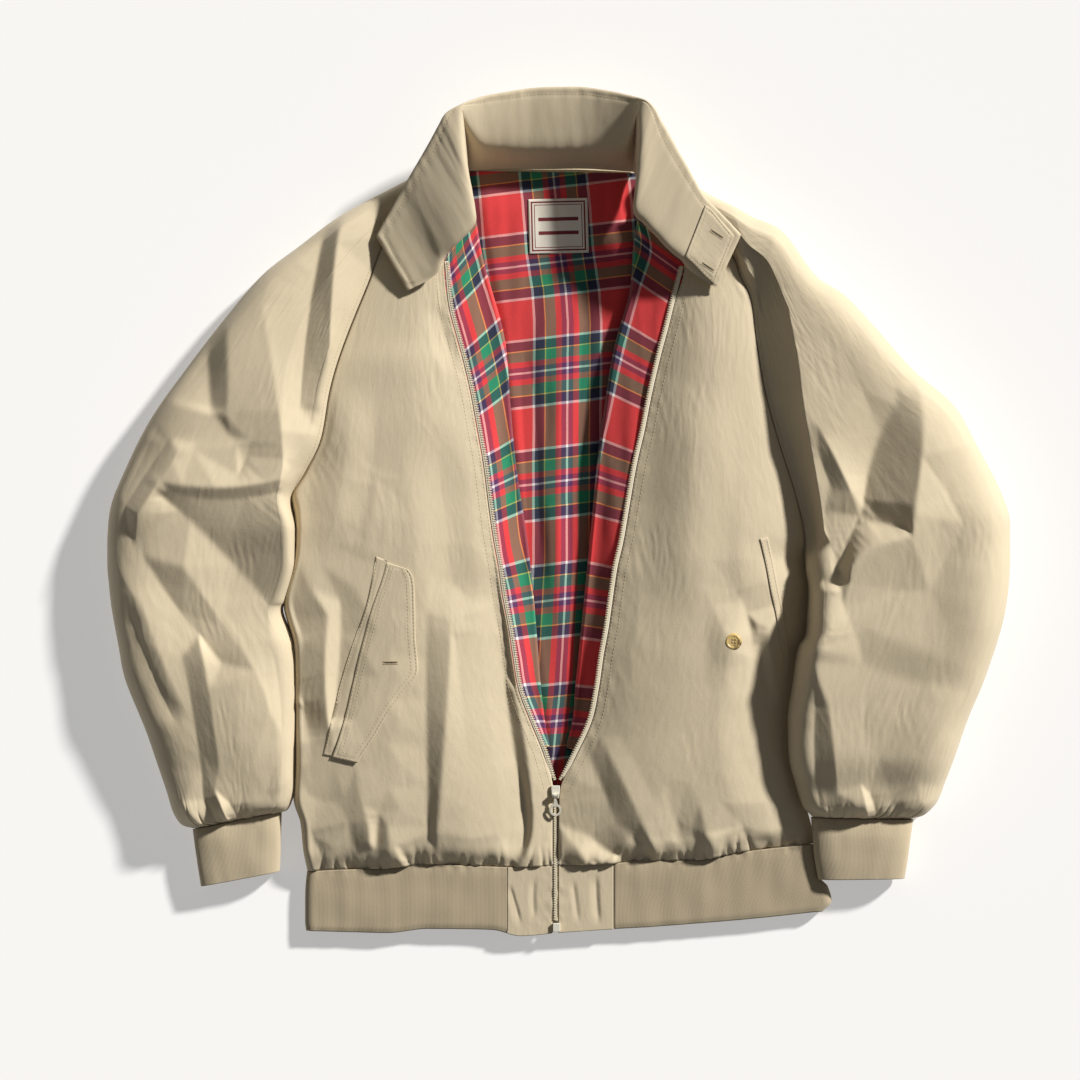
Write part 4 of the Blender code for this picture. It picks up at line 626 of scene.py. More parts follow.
def relief(x: np.ndarray, y: np.ndarray, folds: Table) -> np.ndarray:
    """Height that a table of folds adds at plan places.

    Args:
        x: Places across.
        y: Places along.
        folds: Rows of FOLD_COLUMNS.

    Returns:
        The height at each place.
    """
    total = np.zeros_like(x)
    steps = 12
    share_at = np.linspace(0.0, 1.0, steps + 1)
    weights = ((1 - share_at) * (1 - 2 * share_at), 4 * share_at * (1 - share_at),
               share_at * (2 * share_at - 1))
    for row in folds:
        fold = dict(zip(FOLD_COLUMNS, row))
        way_x = sum(w * fold[k] for w, k in zip(weights, ("x0", "x1", "x2")))
        way_y = sum(w * fold[k] for w, k in zip(weights, ("y0", "y1", "y2")))
        far = max(fold["left"], fold["right"])
        close = ((x > way_x.min() - far) & (x < way_x.max() + far)
                 & (y > way_y.min() - far) & (y < way_y.max() + far))
        px, py = x[close], y[close]
        nearest = np.full(px.shape, 1e9)
        side = np.zeros_like(px)
        share = np.zeros_like(px)
        for k in range(steps):
            dx, dy = way_x[k + 1] - way_x[k], way_y[k + 1] - way_y[k]
            along = np.clip(((px - way_x[k]) * dx + (py - way_y[k]) * dy) / (dx * dx + dy * dy), 0, 1)
            off_x, off_y = px - way_x[k] - along * dx, py - way_y[k] - along * dy
            away = np.hypot(off_x, off_y)
            nearer = away < nearest
            nearest = np.where(nearer, away, nearest)
            side = np.where(nearer, dx * off_y - dy * off_x, side)
            share = np.where(nearer, (k + along) / steps, share)
        q = np.clip(nearest / np.where(side > 0, fold["left"], fold["right"]), 0.0, 1.0)
        shape = fold["sharp"] * (1 - q) ** 2 + (1 - fold["sharp"]) * (1 - q * q) ** 2
        ends = ease(share / fold["fade"]) * ease((1 - share) / fold["fade"])
        total[close] += fold["rise"] * shape * ends
    return total


def creased(x: np.ndarray, y: np.ndarray, creases: Table, calm: float = 24.0) -> np.ndarray:
    """Height of cloth that is drawn straight between its creases, and lies level away from them.

    Args:
        x: Places across.
        y: Places along.
        creases: Rows of CREASE_COLUMNS.
        calm: How far from every crease the cloth is level again.

    Returns:
        The height to add at each place.
    """
    held: list[tuple[float, float, float]] = []
    joined = []
    for row in creases:
        crease = dict(zip(CREASE_COLUMNS, row))
        length = math.hypot(crease["x2"] - crease["x0"], crease["y2"] - crease["y0"])
        t = np.linspace(0.0, 1.0, max(3, round(length * CREASE_STEP / CREASE_PACE) + 1))
        weights = ((1 - t) * (1 - 2 * t), 4 * t * (1 - t), t * (2 * t - 1))
        px, py, rise = (sum(w * crease[f"{stem}{k}"] for k, w in enumerate(weights))
                        for stem in ("x", "y", "rise"))
        joined += [(len(held) + k, len(held) + k + 1) for k in range(len(t) - 1)]
        held += zip((px - CREASE_ORIGIN[0]) * CREASE_STEP, (CREASE_ORIGIN[1] - py) * CREASE_STEP, rise)
    places_held = np.array(held)
    level = np.stack(np.meshgrid(np.arange(x.min() - 60, x.max() + 61, calm * 1.2),
                                 np.arange(y.min() - 60, y.max() + 61, calm * 1.2)), axis=2)
    level[::2, :, 0] += calm * 0.6
    level = level.reshape(-1, 2)
    apart = np.linalg.norm(level[:, None] - places_held[None, :, :2], axis=2).min(axis=1)
    level = level[apart > calm]
    points = np.vstack((places_held, np.column_stack((level, np.zeros(len(level))))))
    corners, _, faces, origin, *_ = delaunay_2d_cdt([Vector(p) for p in points[:, :2]], joined, [], 0,
                                                    0.01)
    sheet = []
    for corner, came_from in zip(corners, origin):
        near = came_from[:1] if came_from else np.argsort(
            np.linalg.norm(points[:, :2] - np.array(corner), axis=1))[:2]
        sheet.append((corner.x, corner.y, float(points[list(near), 2].mean())))
    tree = BVHTree.FromPolygons(sheet, faces)
    down = Vector((0, 0, -1))
    height = np.zeros_like(x)
    for at in np.ndindex(x.shape):
        hit = tree.ray_cast(Vector((x[at], y[at], 100.0)), down)[0]
        height[at] = hit.z if hit is not None else 0.0
    return smoothed(height, 2)


def smoothed(values: np.ndarray, times: int = 6) -> np.ndarray:
    """Values of a grid evened out with their neighbours."""
    for _ in range(times):
        padded = np.pad(values, 1, mode="edge")
        values = (padded[:-2, 1:-1] + padded[2:, 1:-1] + padded[1:-1, :-2] + padded[1:-1, 2:]
                  + 2 * values) / 6
    return values


def gathers(across: np.ndarray, away: np.ndarray, depth: float, reach: float, seed: int) -> np.ndarray:
    """Pleats that a tight seam draws up: narrow valleys that die out away from it, unevenly.

    Args:
        across: Places along the seam.
        away: How far each place is from it.
        depth: How deep the valleys are at the seam.
        reach: How far they run, about.
        seed: Which gathers.

    Returns:
        The height to add, mostly below nought.
    """
    wander = across + grain(across, away, (30, 40), seed + 1) * 4
    noise = grain(wander, away * 0.25, (GATHER_WIDTH, reach), seed)
    valley = np.clip(1 - np.abs(noise) / 0.3, 0, 1) ** 1.4
    long = reach * (0.75 + 0.6 * grain(across, np.zeros_like(away), (GATHER_WIDTH * 2.2, 50), seed + 2))
    fade = np.exp(-(away / np.maximum(long, reach * 0.25)) ** 1.6)
    return (-depth * valley + depth * 0.55 * np.abs(noise)) * fade


def drawn_in(u: np.ndarray, v: np.ndarray, away: np.ndarray, depth: float, puff: float,
             reach: float, cell: float, seed: int) -> np.ndarray:
    """Cloth that a tight seam draws in: gathers at the seam and a puffed roll beside them.

    Args:
        u: Places along the seam.
        v: Places across it.
        away: How far each place is from it.
        depth: How deep the gathers are.
        puff: How high the roll stands.
        reach: How far from the seam the roll is.
        cell: How wide the roll's lumps are.
        seed: Which gathers.

    Returns:
        The height to add.
    """
    roll = puff * np.exp(-((away - reach) / (reach - 2)) ** 2)
    roll *= 1 + 0.6 * grain(u, v, (cell, 60), seed + 9)
    return gathers(u, away, depth, reach, seed + 20) + roll * ease(away / 4)


def crinkle(u: np.ndarray, v: np.ndarray, seed: int, strength: float = 1.0) -> np.ndarray:
    """The small creases of washed cloth, which run along v.

    Args:
        u: Places across the cloth.
        v: Places along it.
        seed: Which creases.
        strength: How strong they are.

    Returns:
        The height to add.
    """
    total = 0.35 * grain(u, v, (62, 95), seed + 3)
    for k, (lean, width) in enumerate(((-0.25, 7.0), (0.02, 5.0), (0.3, 9.0))):
        bent = u + lean * v + grain(u, v, (45, 70), seed + 10 * k + 5) * 6
        patch = np.clip(0.15 + 1.3 * grain(u, v, (42, 64), seed + 10 * k + 1), 0, 1)
        total += 0.3 * (0.42 - np.abs(grain(bent, v, (width, 34), seed + 10 * k + 2))) * patch
    return strength * total


def shifted(line: np.ndarray, amount: float) -> np.ndarray:
    """A plan line moved sideways, to the left of its way where amount is above nought."""
    way = np.gradient(line, axis=0)
    way /= np.linalg.norm(way, axis=1)[:, None]
    return line + amount * np.stack((-way[:, 1], way[:, 0]), axis=1)


def grid_normals(grid: np.ndarray, wrapped: np.ndarray | None = None) -> np.ndarray:
    """Unit normals at a grid's places.

    Args:
        grid: Places in rows.
        wrapped: Which rows close on themselves.

    Returns:
        One normal a place.
    """
    down = np.gradient(grid, axis=0)
    across = np.gradient(grid, axis=1)
    if wrapped is not None:
        ends = (grid[wrapped, 1] - grid[wrapped, -2]) / 2
        across[wrapped, 0] = across[wrapped, -1] = ends
    normal = np.cross(down, across)
    return normal / np.maximum(np.linalg.norm(normal, axis=2), 1e-9)[:, :, None]


def level_ends(normal: np.ndarray, lines: Sequence[np.ndarray]) -> None:
    """Turns the normals of a grid's end rows so that a wall made along them ends square.

    Args:
        normal: The grid's normals, which this changes.
        lines: Which way the first row and the last one run.
    """
    for end, line in zip((0, -1), lines):
        way = np.array((-line[1], line[0], 0.0)) / np.linalg.norm(line)
        normal[end] -= np.outer(normal[end] @ way, way)
        normal[end] /= np.linalg.norm(normal[end], axis=1)[:, None]


def hung_under(top: np.ndarray, thickness: float, floor: float | None = None) -> np.ndarray:
    """The under face of a laid piece: its top lowered by the thickness square to the cloth."""
    drop = thickness / np.clip(np.abs(grid_normals(top)[:, :, 2]), 1 / 2.4, 1.0)
    drop[:, 0] = drop[:, -1] = thickness
    under = top.copy()
    under[:, :, 2] -= drop
    if floor is not None:
        under[:, :, 2] = np.maximum(under[:, :, 2], floor)
    return under


def hem_y(x: np.ndarray | float, name: str = "seam_y") -> np.ndarray:
    """Where the hem's seam, or its lower edge, runs at each place across."""
    at = np.interp(x, column(HEM_LINE, HEM_COLUMNS, "x"), np.arange(len(HEM_LINE)))
    return between(column(HEM_LINE, HEM_COLUMNS, name), np.atleast_1d(at).ravel()).reshape(np.shape(x))


# ---------------------------------------------------------------- finishes

Number = Union[float, int, "Wire"]


class Wire:
    """A socket of a material's node, on which sums are written as plain Python."""

    def __init__(self, graph: "Graph", socket: bpy.types.NodeSocket) -> None:
        """Keeps the socket and the graph that it belongs to."""
        self.graph = graph
        self.socket = socket

    def __add__(self, other: Number) -> "Wire":
        """Self plus other."""
        return self.graph.math("ADD", self, other)

    def __radd__(self, other: Number) -> "Wire":
        """Other plus self."""
        return self.graph.math("ADD", other, self)

    def __sub__(self, other: Number) -> "Wire":
        """Self less other."""
        return self.graph.math("SUBTRACT", self, other)

    def __rsub__(self, other: Number) -> "Wire":
        """Other less self."""
        return self.graph.math("SUBTRACT", other, self)

    def __mul__(self, other: Number) -> "Wire":
        """Self times other."""
        return self.graph.math("MULTIPLY", self, other)

    def __rmul__(self, other: Number) -> "Wire":
        """Other times self."""
        return self.graph.math("MULTIPLY", other, self)

    def __truediv__(self, other: Number) -> "Wire":
        """Self divided by other."""
        return self.graph.math("DIVIDE", self, other)

    def __abs__(self) -> "Wire":
        """Self without its sign."""
        return self.graph.math("ABSOLUTE", self)

    def __gt__(self, other: Number) -> "Wire":
        """1 where self is above other, otherwise 0."""
        return self.graph.math("GREATER_THAN", self, other)

    def fract(self) -> "Wire":
        """What is left of self after the whole number."""
        return self.graph.math("FRACT", self)

    def sine(self) -> "Wire":
        """The sine of self, in radians."""
        return self.graph.math("SINE", self)

    def swing(self, reach: float) -> "Wire":
        """Self folded back and forth between 0 and reach."""
        return self.graph.math("PINGPONG", self, reach)

    def clamped(self) -> "Wire":
        """Self kept from 0 to 1."""
        return self.graph.node("ShaderNodeClamp", {}, {"Value": self})


class Graph:
    """A material's nodes, with one method that makes any of them."""

    def __init__(self, name: str) -> None:
        """Starts a material with only its output."""
        self.material = bpy.data.materials.new(name)
        self.material.use_nodes = True
        self.tree = self.material.node_tree
        self.tree.nodes.clear()

    def node(self, kind: str, settings: dict, sockets: dict, output: int | str = 0) -> Wire:
        """Adds a node.

        Args:
            kind: The node's type.
            settings: Its own settings, set first; stops are a ramp's places and colours.
            sockets: Values or wires for its inputs, by name or number.
            output: Which output to give back.

        Returns:
            A wire from that output.
        """
        made = self.tree.nodes.new(kind)
        for name, value in settings.items():
            if name == "stops":
                ramp = made.color_ramp
                while len(ramp.elements) < len(value):
                    ramp.elements.new(0.5)
                for element, (place, colour) in zip(ramp.elements, value):
                    element.position = place
                    element.color = (*colour, 1.0)
            elif name == "ramp":
                made.color_ramp.interpolation = value
            else:
                setattr(made, name, value)
        for key, value in sockets.items():
            socket = made.inputs[key]
            if isinstance(value, Wire):
                self.tree.links.new(value.socket, socket)
            else:
                socket.default_value = value
        return Wire(self, made.outputs[output])

    def math(self, operation: str, *values: Number) -> Wire:
        """A sum on numbers."""
        return self.node("ShaderNodeMath", {"operation": operation}, dict(enumerate(values)))

    def mix(self, share: Number, one: object, other: object) -> Wire:
        """A colour between one and the other."""
        sockets = {0: share, 6: self.colour(one), 7: self.colour(other)}
        return self.node("ShaderNodeMix", {"data_type": "RGBA"}, sockets, 2)

    def scaled(self, colour: object, share: Number) -> Wire:
        """A colour made lighter or darker."""
        return self.node("ShaderNodeVectorMath", {"operation": "SCALE"}, {0: colour, "Scale": share})

    @staticmethod
    def colour(value: object) -> object:
        """A colour with its fourth number, or a wire as it is."""
        return value if isinstance(value, Wire) else (*value, 1.0)

    def split(self, vector: Wire) -> tuple[Wire, Wire]:
        """The first two numbers of a vector."""
        parts = self.node("ShaderNodeSeparateXYZ", {}, {0: vector}).socket.node.outputs
        return Wire(self, parts[0]), Wire(self, parts[1])

    def cloth(self) -> tuple[Wire, Wire]:
        """Places across and along the cloth, in metres."""
        return self.split(self.node("ShaderNodeUVMap", {"uv_map": UV_NAME}, {}))

    def place(self) -> Wire:
        """A place in the garment, in metres."""
        return self.node("ShaderNodeTexCoord", {}, {}, "Object")

    def noise(self, vector: Wire, scale: float, detail: float = 2.0, rough: float = 0.5) -> Wire:
        """Noise from 0 to 1."""
        sockets = {"Vector": vector, "Scale": scale, "Detail": detail, "Roughness": rough}
        return self.node("ShaderNodeTexNoise", {}, sockets)

    def joined(self, x: Number, y: Number, z: Number = 0.0) -> Wire:
        """Three numbers as a vector."""
        return self.node("ShaderNodeCombineXYZ", {}, {0: x, 1: y, 2: z})

    def bump(self, height: Wire) -> Wire:
        """A normal that shows a height, which is in metres."""
        return self.node("ShaderNodeBump", {}, {"Height": height, "Strength": 1.0, "Distance": 1.0})

    def surface(self, **sockets: object) -> bpy.types.Material:
        """Ends the material in one shader.

        Args:
            sockets: Values or wires for the shader's inputs, with _ for a space.

        Returns:
            The material.
        """
        named = {key.replace("_", " "): value for key, value in sockets.items()}
        shader = self.node("ShaderNodeBsdfPrincipled", {}, named)
        out = self.tree.nodes.new("ShaderNodeOutputMaterial")
        self.tree.links.new(shader.socket, out.inputs["Surface"])
        return self.material


class Slot(Enum):
    """The record's finishes."""

    COTTON = "cotton"
    RIB = "rib"
    TARTAN = "tartan"
    LABEL = "label"
    ZIP_TAPE = "zip_tape"
    BRASS = "brass"
    HORN = "horn"


@dataclass(frozen=True)
class ShellCloth:
    """Washed cotton and nylon: khaki, with fine creases along the grain and a faint sheen."""

    light: tuple[float, float, float] = (0.61, 0.515, 0.36)
    dark: tuple[float, float, float] = (0.55, 0.46, 0.315)
    crease_mm: float = 0.1
    slot: Slot = Slot.COTTON

    def material(self, name: str) -> bpy.types.Material:
        """The finish as a material."""
        g = Graph(name)
        u, v = g.cloth()
        streaks = g.noise(g.joined(u * 300, v * 75, 3.0), 1.0, 4.0, 0.55)
        fine = g.noise(g.joined(u * 900, v * 420, 7.0), 1.0, 2.0)
        soft = g.noise(g.joined(u * 85, v * 34, 5.0), 1.0, 2.0)
        cloud = g.noise(g.place(), 9.0, 3.0)
        worn = (streaks * 0.55 + cloud * 0.45 - 0.5) * 1.6 + 0.5
        colour = g.mix(worn.clamped(), self.dark, self.light)
        weave = (u * 9000).sine() * (v * 9000).sine()
        height = (streaks * 2.0 + fine * 0.8 + soft * 4.0 + weave * 0.05) * (self.crease_mm * MM)
        return g.surface(Base_Color=colour, Roughness=0.74 + 0.14 * fine, Normal=g.bump(height),
                         Sheen_Weight=0.12, Sheen_Roughness=0.5, Specular_IOR_Level=0.3)


@dataclass(frozen=True)
class RibKnit:
    """Fine rib knit: close ridges across the band, matt, with painted shade in the grooves between them.
    """

    light: tuple[float, float, float] = (0.44, 0.36, 0.24)
    dark: tuple[float, float, float] = (0.37, 0.30, 0.198)
    rib_mm: float = 1.15
    slot: Slot = Slot.RIB

    def material(self, name: str) -> bpy.types.Material:
        """The finish as a material."""
        g = Graph(name)
        u, v = g.cloth()
        drift = g.noise(g.joined(u * 20, v * 14, 1.0), 1.0, 2.0)
        turn = 2 * math.pi / (self.rib_mm * MM)
        ridge = (u * turn + drift * 2.0).sine()
        stitch = (v * (turn * 1.2)).sine()
        fuzz = g.noise(g.place(), 700.0, 3.0)
        # shade mixes painted shade with random tone: the ridge term paints the grooves darker and the
        # crests lighter, while fuzz and drift are the yarn's random tone
        shade = (ridge * 0.06 + fuzz * 0.6 + drift * 0.4).clamped()
        colour = g.mix(shade, self.dark, self.light)
        height = ridge * 0.00003 + stitch * 0.00001 + fuzz * 0.00008
        return g.surface(Base_Color=colour, Roughness=0.92, Normal=g.bump(height),
                         Sheen_Weight=0.2, Sheen_Roughness=0.6, Specular_IOR_Level=0.2)


SETT_COLUMNS = ("from_mm", "red", "green", "blue")
# Half of the tartan's stripes from the middle of one repeat to the middle of the ground, in colours of
# dyed yarn. The other half is the same, turned round.
SETT = [
    (0.0, 0.82, 0.78, 0.74),
    (0.9, 0.09, 0.02, 0.09),
    (5.0, 0.64, 0.035, 0.04),
    (10.0, 0.01, 0.22, 0.105),
    (18.8, 0.72, 0.52, 0.10),
    (19.9, 0.012, 0.018, 0.05),
    (28.0, 0.82, 0.78, 0.74),
    (30.2, 0.69, 0.04, 0.042),
]
SETT_HALF = 47.6

REPEAT_COLUMNS = ("row", "left", "middle", "right", "left_lean", "middle_lean", "right_lean")
# Where each whole repeat's white line crosses the left strip, the back's lining and the right strip, in
# crease steps, and how steeply the line rises towards the fold, or to the right on the back's lining.
REPEATS = [
    (-1, 180, 153, 172, 0.9, 0.12, 0.75),
    (0, 282, 260, 275, 0.8, 0.12, 0.6),
    (1, 385, 367, 378, 0.7, 0.12, 0.47),
    (2, 490, 480, 488, 0.4, 0.12, 0.3),
    (3, 603, 599, 604, 0.18, 0.12, 0.14),
    (4, 722, 722, 725, 0.0, 0.1, 0.05),
    (5, 842, 845, 846, 0.0, 0.1, 0.0),
]
MIDDLE_LINE_COLUMNS = ("y", "x")
# Where the white line down the middle of the back's lining runs, in crease steps.
MIDDLE_LINE = [(150, 551), (200, 556), (250, 560), (290, 566), (320, 568), (480, 567), (560, 567),
               (640, 563), (690, 560), (760, 553), (850, 545)]


def stripes_along(place: str, y: np.ndarray, aside: np.ndarray) -> np.ndarray:
    """How far each place is along the tartan, in millimetres.

    Args:
        place: Which column of REPEATS: left, middle or right.
        y: The places' Y.
        aside: How far they are from where the column was read.

    Returns:
        The places along the tartan.
    """
    down = CREASE_ORIGIN[1] - y / CREASE_STEP
    centres = column(REPEATS, REPEAT_COLUMNS, place)
    lean = np.interp(down, centres, column(REPEATS, REPEAT_COLUMNS, f"{place}_lean"))
    return 2 * SETT_HALF * np.interp(down + lean * aside / CREASE_STEP, centres,
                                     column(REPEATS, REPEAT_COLUMNS, "row"))


@dataclass(frozen=True)
class TartanCloth:
    """Brushed cotton in a red tartan, woven 2 over 2."""

    slot: Slot = Slot.TARTAN

    @staticmethod
    def yarn(g: Graph, place: Wire) -> Wire:
        """The yarn's colour at a place across the stripes, in millimetres."""
        rgb = [column(SETT, SETT_COLUMNS, name) for name in SETT_COLUMNS[1:]]
        start = column(SETT, SETT_COLUMNS, "from_mm") / SETT_HALF
        stops = [(s, (r, gr, b)) for s, r, gr, b in zip(start, *rgb)]
        share = place.swing(SETT_HALF) / SETT_HALF
        return g.node("ShaderNodeValToRGB", {"ramp": "CONSTANT", "stops": stops}, {0: share})

    def material(self, name: str) -> bpy.types.Material:
        """The finish as a material."""
        g = Graph(name)
        u, v = g.cloth()
        wobble = g.noise(g.place(), 60.0, 2.0) - 0.5
        x, y = u * 1000 + wobble * 0.8, v * 1000 + wobble * 0.8
        warp, weft = self.yarn(g, x), self.yarn(g, y)
        twill = ((x + y) / 1.1).fract() > 0.5
        fuzz = g.noise(g.place(), 900.0, 3.0)
        deep = g.node("ShaderNodeMix", {"data_type": "RGBA", "blend_type": "MULTIPLY"},
                      {0: 1.0, 6: warp, 7: weft}, 2)
        deep = g.node("ShaderNodeGamma", {}, {"Color": deep, "Gamma": 0.5})
        colour = g.mix(0.45, g.mix(0.36 + 0.28 * twill, warp, weft), deep)
        colour = g.scaled(colour, 0.86 + fuzz * 0.3)
        height = twill * 0.00004 + fuzz * 0.00012
        return g.surface(Base_Color=colour, Roughness=0.9, Normal=g.bump(height),
                         Sheen_Weight=0.25, Sheen_Roughness=0.6, Specular_IOR_Level=0.2)


@dataclass(frozen=True)
class LabelCloth:
    """A woven label: a cream ground in a dark red frame, with plain bars."""

    ground: tuple[float, float, float] = (0.82, 0.76, 0.66)
    frame: tuple[float, float, float] = (0.20, 0.035, 0.04)
    slot: Slot = Slot.LABEL

    def material(self, name: str) -> bpy.types.Material:
        """The finish as a material."""
        g = Graph(name)
        u, v = g.cloth()
        half_w, half_h = LABEL_SIZE[0] / 2, LABEL_SIZE[1] / 2
        x, y = abs(u * 1000), abs(v * 1000)
        edge = g.math("MINIMUM", half_w - x, half_h - y)
        line = (edge > 2.2) * (1 - (edge > 3.6))
        inner = (edge > 5.0) * (1 - (edge > 5.7))
        bars = (y.swing(6.0) > 4.4) * (edge > 8.5)
        ink = g.math("MAXIMUM", g.math("MAXIMUM", line, inner), bars)
        weave = (u * 7000).sine() * (v * 7000).sine()
        return g.surface(Base_Color=g.mix(ink, self.ground, self.frame), Roughness=0.8,
                         Normal=g.bump(weave * 0.00003), Specular_IOR_Level=0.3)


@dataclass(frozen=True)
class PlainCloth:
    """A narrow woven tape or thread in one colour."""

    colour: tuple[float, float, float]
    slot: Slot = Slot.ZIP_TAPE

    def material(self, name: str) -> bpy.types.Material:
        """The finish as a material."""
        g = Graph(name)
        fuzz = g.noise(g.place(), 1200.0, 2.0)
        colour = g.scaled(self.colour, 0.85 + 0.3 * fuzz)
        return g.surface(Base_Color=colour, Roughness=0.8, Normal=g.bump(fuzz * 0.00006))


@dataclass(frozen=True)
class Brass:
    """Pale polished brass, a little worn."""

    colour: tuple[float, float, float] = (0.86, 0.77, 0.60)
    metallic: float = 0.4
    slot: Slot = Slot.BRASS

    def material(self, name: str) -> bpy.types.Material:
        """The finish as a material."""
        g = Graph(name)
        wear = g.noise(g.place(), 400.0, 3.0)
        dark = tuple(c * 0.8 for c in self.colour)
        return g.surface(Base_Color=g.mix(wear, dark, self.colour), Metallic=self.metallic,
                         Roughness=0.26 + 0.2 * wear, Normal=g.bump(wear * 0.00003))


@dataclass(frozen=True)
class Horn:
    """Mottled horn, polished: cream yellow with brown smoke towards one side."""

    pale: tuple[float, float, float] = (0.62, 0.44, 0.17)
    smoke: tuple[float, float, float] = (0.06, 0.03, 0.015)
    slot: Slot = Slot.HORN

    def material(self, name: str) -> bpy.types.Material:
        """The finish as a material."""
        g = Graph(name)
        where = g.place()
        x, y = g.split(where)
        side = (x - BUTTON[0] * MM) * 90 - (y - BUTTON[1] * MM) * 60
        cloud = g.noise(where, 260.0, 4.0, 0.6)
        share = (side + (cloud - 0.5) * 3.0 - 0.1).clamped()
        return g.surface(Base_Color=g.mix(share, self.pale, self.smoke), Roughness=0.28,
                         Coat_Weight=0.4, Coat_Roughness=0.1)


# ---------------------------------------------------------------- meshes


class MeshMaker:
    """Collects places, faces and cloth coordinates, and makes one mesh of them."""

    def __init__(self, name: str) -> None:
        """Starts an empty mesh."""
        self.name = name
        self.places: list[np.ndarray] = []
        self.count = 0
        self.faces: list[Sequence[int]] = []
        self.uvs: list[np.ndarray] = []

    def add_places(self, places: np.ndarray) -> int:
        """Adds places and gives the number of the first."""
        first = self.count
        self.places.append(places.reshape(-1, 3))
        self.count += len(self.places[-1])
        return first

    def add_faces(self, faces: np.ndarray, uvs: np.ndarray) -> None:
        """Adds faces of one size with a cloth coordinate for each corner."""
        self.faces.extend(faces.tolist())
        self.uvs.append(uvs.reshape(-1, 2))

    def build(self, smooth: bool = True) -> bpy.types.Object:
        """Makes the object, in metres and at the origin.

        Args:
            smooth: Whether its faces are shaded smooth.

        Returns:
            The object.
        """
        mesh = bpy.data.meshes.new(self.name)
        mesh.from_pydata((np.concatenate(self.places) * MM).tolist(), [], self.faces)
        layer = mesh.uv_layers.new(name=UV_NAME)
        layer.data.foreach_set("uv", (np.concatenate(self.uvs) * MM).astype(np.float32).ravel())
        mesh.polygons.foreach_set("use_smooth", [smooth] * len(mesh.polygons))
        mesh.update()
        thing = bpy.data.objects.new(self.name, mesh)
        bpy.context.scene.collection.objects.link(thing)
        return thing


COARSE = 3   # an inner wall has one line where the outer has this many


def numbered(shape: tuple[int, int], first: int, ring_from: int | None) -> np.ndarray:
    """A grid's vertex numbers; a row that is a ring ends on its own first vertex."""
    index = first + np.arange(shape[0] * shape[1]).reshape(shape)
    if ring_from is not None:
        index[ring_from:, -1] = index[ring_from:, 0]
    return index


def quads(index: np.ndarray, flip: bool) -> np.ndarray:
    """The faces between a grid's lines."""
    corners = (index[:-1, :-1], index[1:, :-1], index[1:, 1:], index[:-1, 1:])
    made = np.stack([corner.ravel() for corner in corners], axis=1)
    return made[:, ::-1] if flip else made


def cloth_wall(name: str, outer: np.ndarray, inner: np.ndarray, uv: np.ndarray, outward: int,
               ring_from: int | None = None) -> bpy.types.Object:
    """A closed wall of cloth between a fine outer grid and a coarser inner one.

    Args:
        name: The object's name.
        outer: Places of the side that shows.
        inner: Places of the other side, on every COARSE-th line.
        uv: Cloth coordinates of the outer places.
        outward: 1 where rows crossed with columns point out, otherwise -1.
        ring_from: The outer row from which rows are rings, if any are.

    Returns:
        The object.
    """
    make = MeshMaker(name)
    flip = outward < 0
    uv_in = uv[::COARSE, ::COARSE]
    rings_in = None if ring_from is None else ring_from // COARSE
    top = numbered(outer.shape[:2], make.add_places(outer), ring_from)
    low = numbered(inner.shape[:2], make.add_places(inner), rings_in)
    for index, coords, turned in ((top, uv, flip), (low, uv_in, not flip)):
        plain = np.arange(index.size).reshape(index.shape)
        make.add_faces(quads(index, turned), coords.reshape(-1, 2)[quads(plain, turned)])
    borders = [(top[0], low[0], uv[0], uv_in[0], flip),
               (top[-1], low[-1], uv[-1], uv_in[-1], not flip)]
    last = outer.shape[0] - 1 if ring_from is None else ring_from
    for side, turned in ((0, not flip), (-1, flip)):
        end = last // COARSE
        borders.append((top[:last + 1, side], low[:end + 1, side], uv[:last + 1, side],
                        uv_in[:end + 1, side], turned))
    for fine, coarse, uv_fine, uv_coarse, turned in borders:
        for k in range(len(coarse) - 1):
            run = slice(k * COARSE, k * COARSE + COARSE + 1)
            loop = list(fine[run]) + [coarse[k + 1], coarse[k]]
            coords = np.vstack((uv_fine[run], uv_coarse[k + 1], uv_coarse[k]))
            if turned:
                loop, coords = loop[::-1], coords[::-1]
            make.faces.append([int(i) for i in loop])
            make.uvs.append(coords)
    return without_loose(make.build())


def without_loose(thing: bpy.types.Object) -> bpy.types.Object:
    """The object without vertices that no face uses."""
    mesh = thing.data
    used = np.zeros(len(mesh.vertices), bool)
    corner = np.zeros(len(mesh.loops), np.int32)
    mesh.loops.foreach_get("vertex_index", corner)
    used[corner] = True
    if not used.all():
        bm = bmesh.new()
        bm.from_mesh(mesh)
        bm.verts.ensure_lookup_table()
        bmesh.ops.delete(bm, geom=[bm.verts[int(i)] for i in np.nonzero(~used)[0]], context="VERTS")
        bm.to_mesh(mesh)
        bm.free()
    return thing


def cloth_uv(grid: np.ndarray) -> np.ndarray:
    """Cloth coordinates of a grid, by its mean lengths across and along."""
    across = np.linalg.norm(np.diff(grid, axis=1), axis=2).mean(axis=0)
    along = np.linalg.norm(np.diff(grid, axis=0), axis=2).mean(axis=1)
    u = np.concatenate(([0.0], np.cumsum(across)))
    v = np.concatenate(([0.0], np.cumsum(along)))
    return np.dstack(np.broadcast_arrays(u[None, :], -v[:, None]))


def spare_lines(count: int) -> int:
    """How many lines have to join so many, for their steps to go by COARSE."""
    return -(count - 1) % COARSE


def thirds(count: int) -> int:
    """The least number of lines, no fewer than asked, whose steps go by COARSE."""
    return count + spare_lines(count)


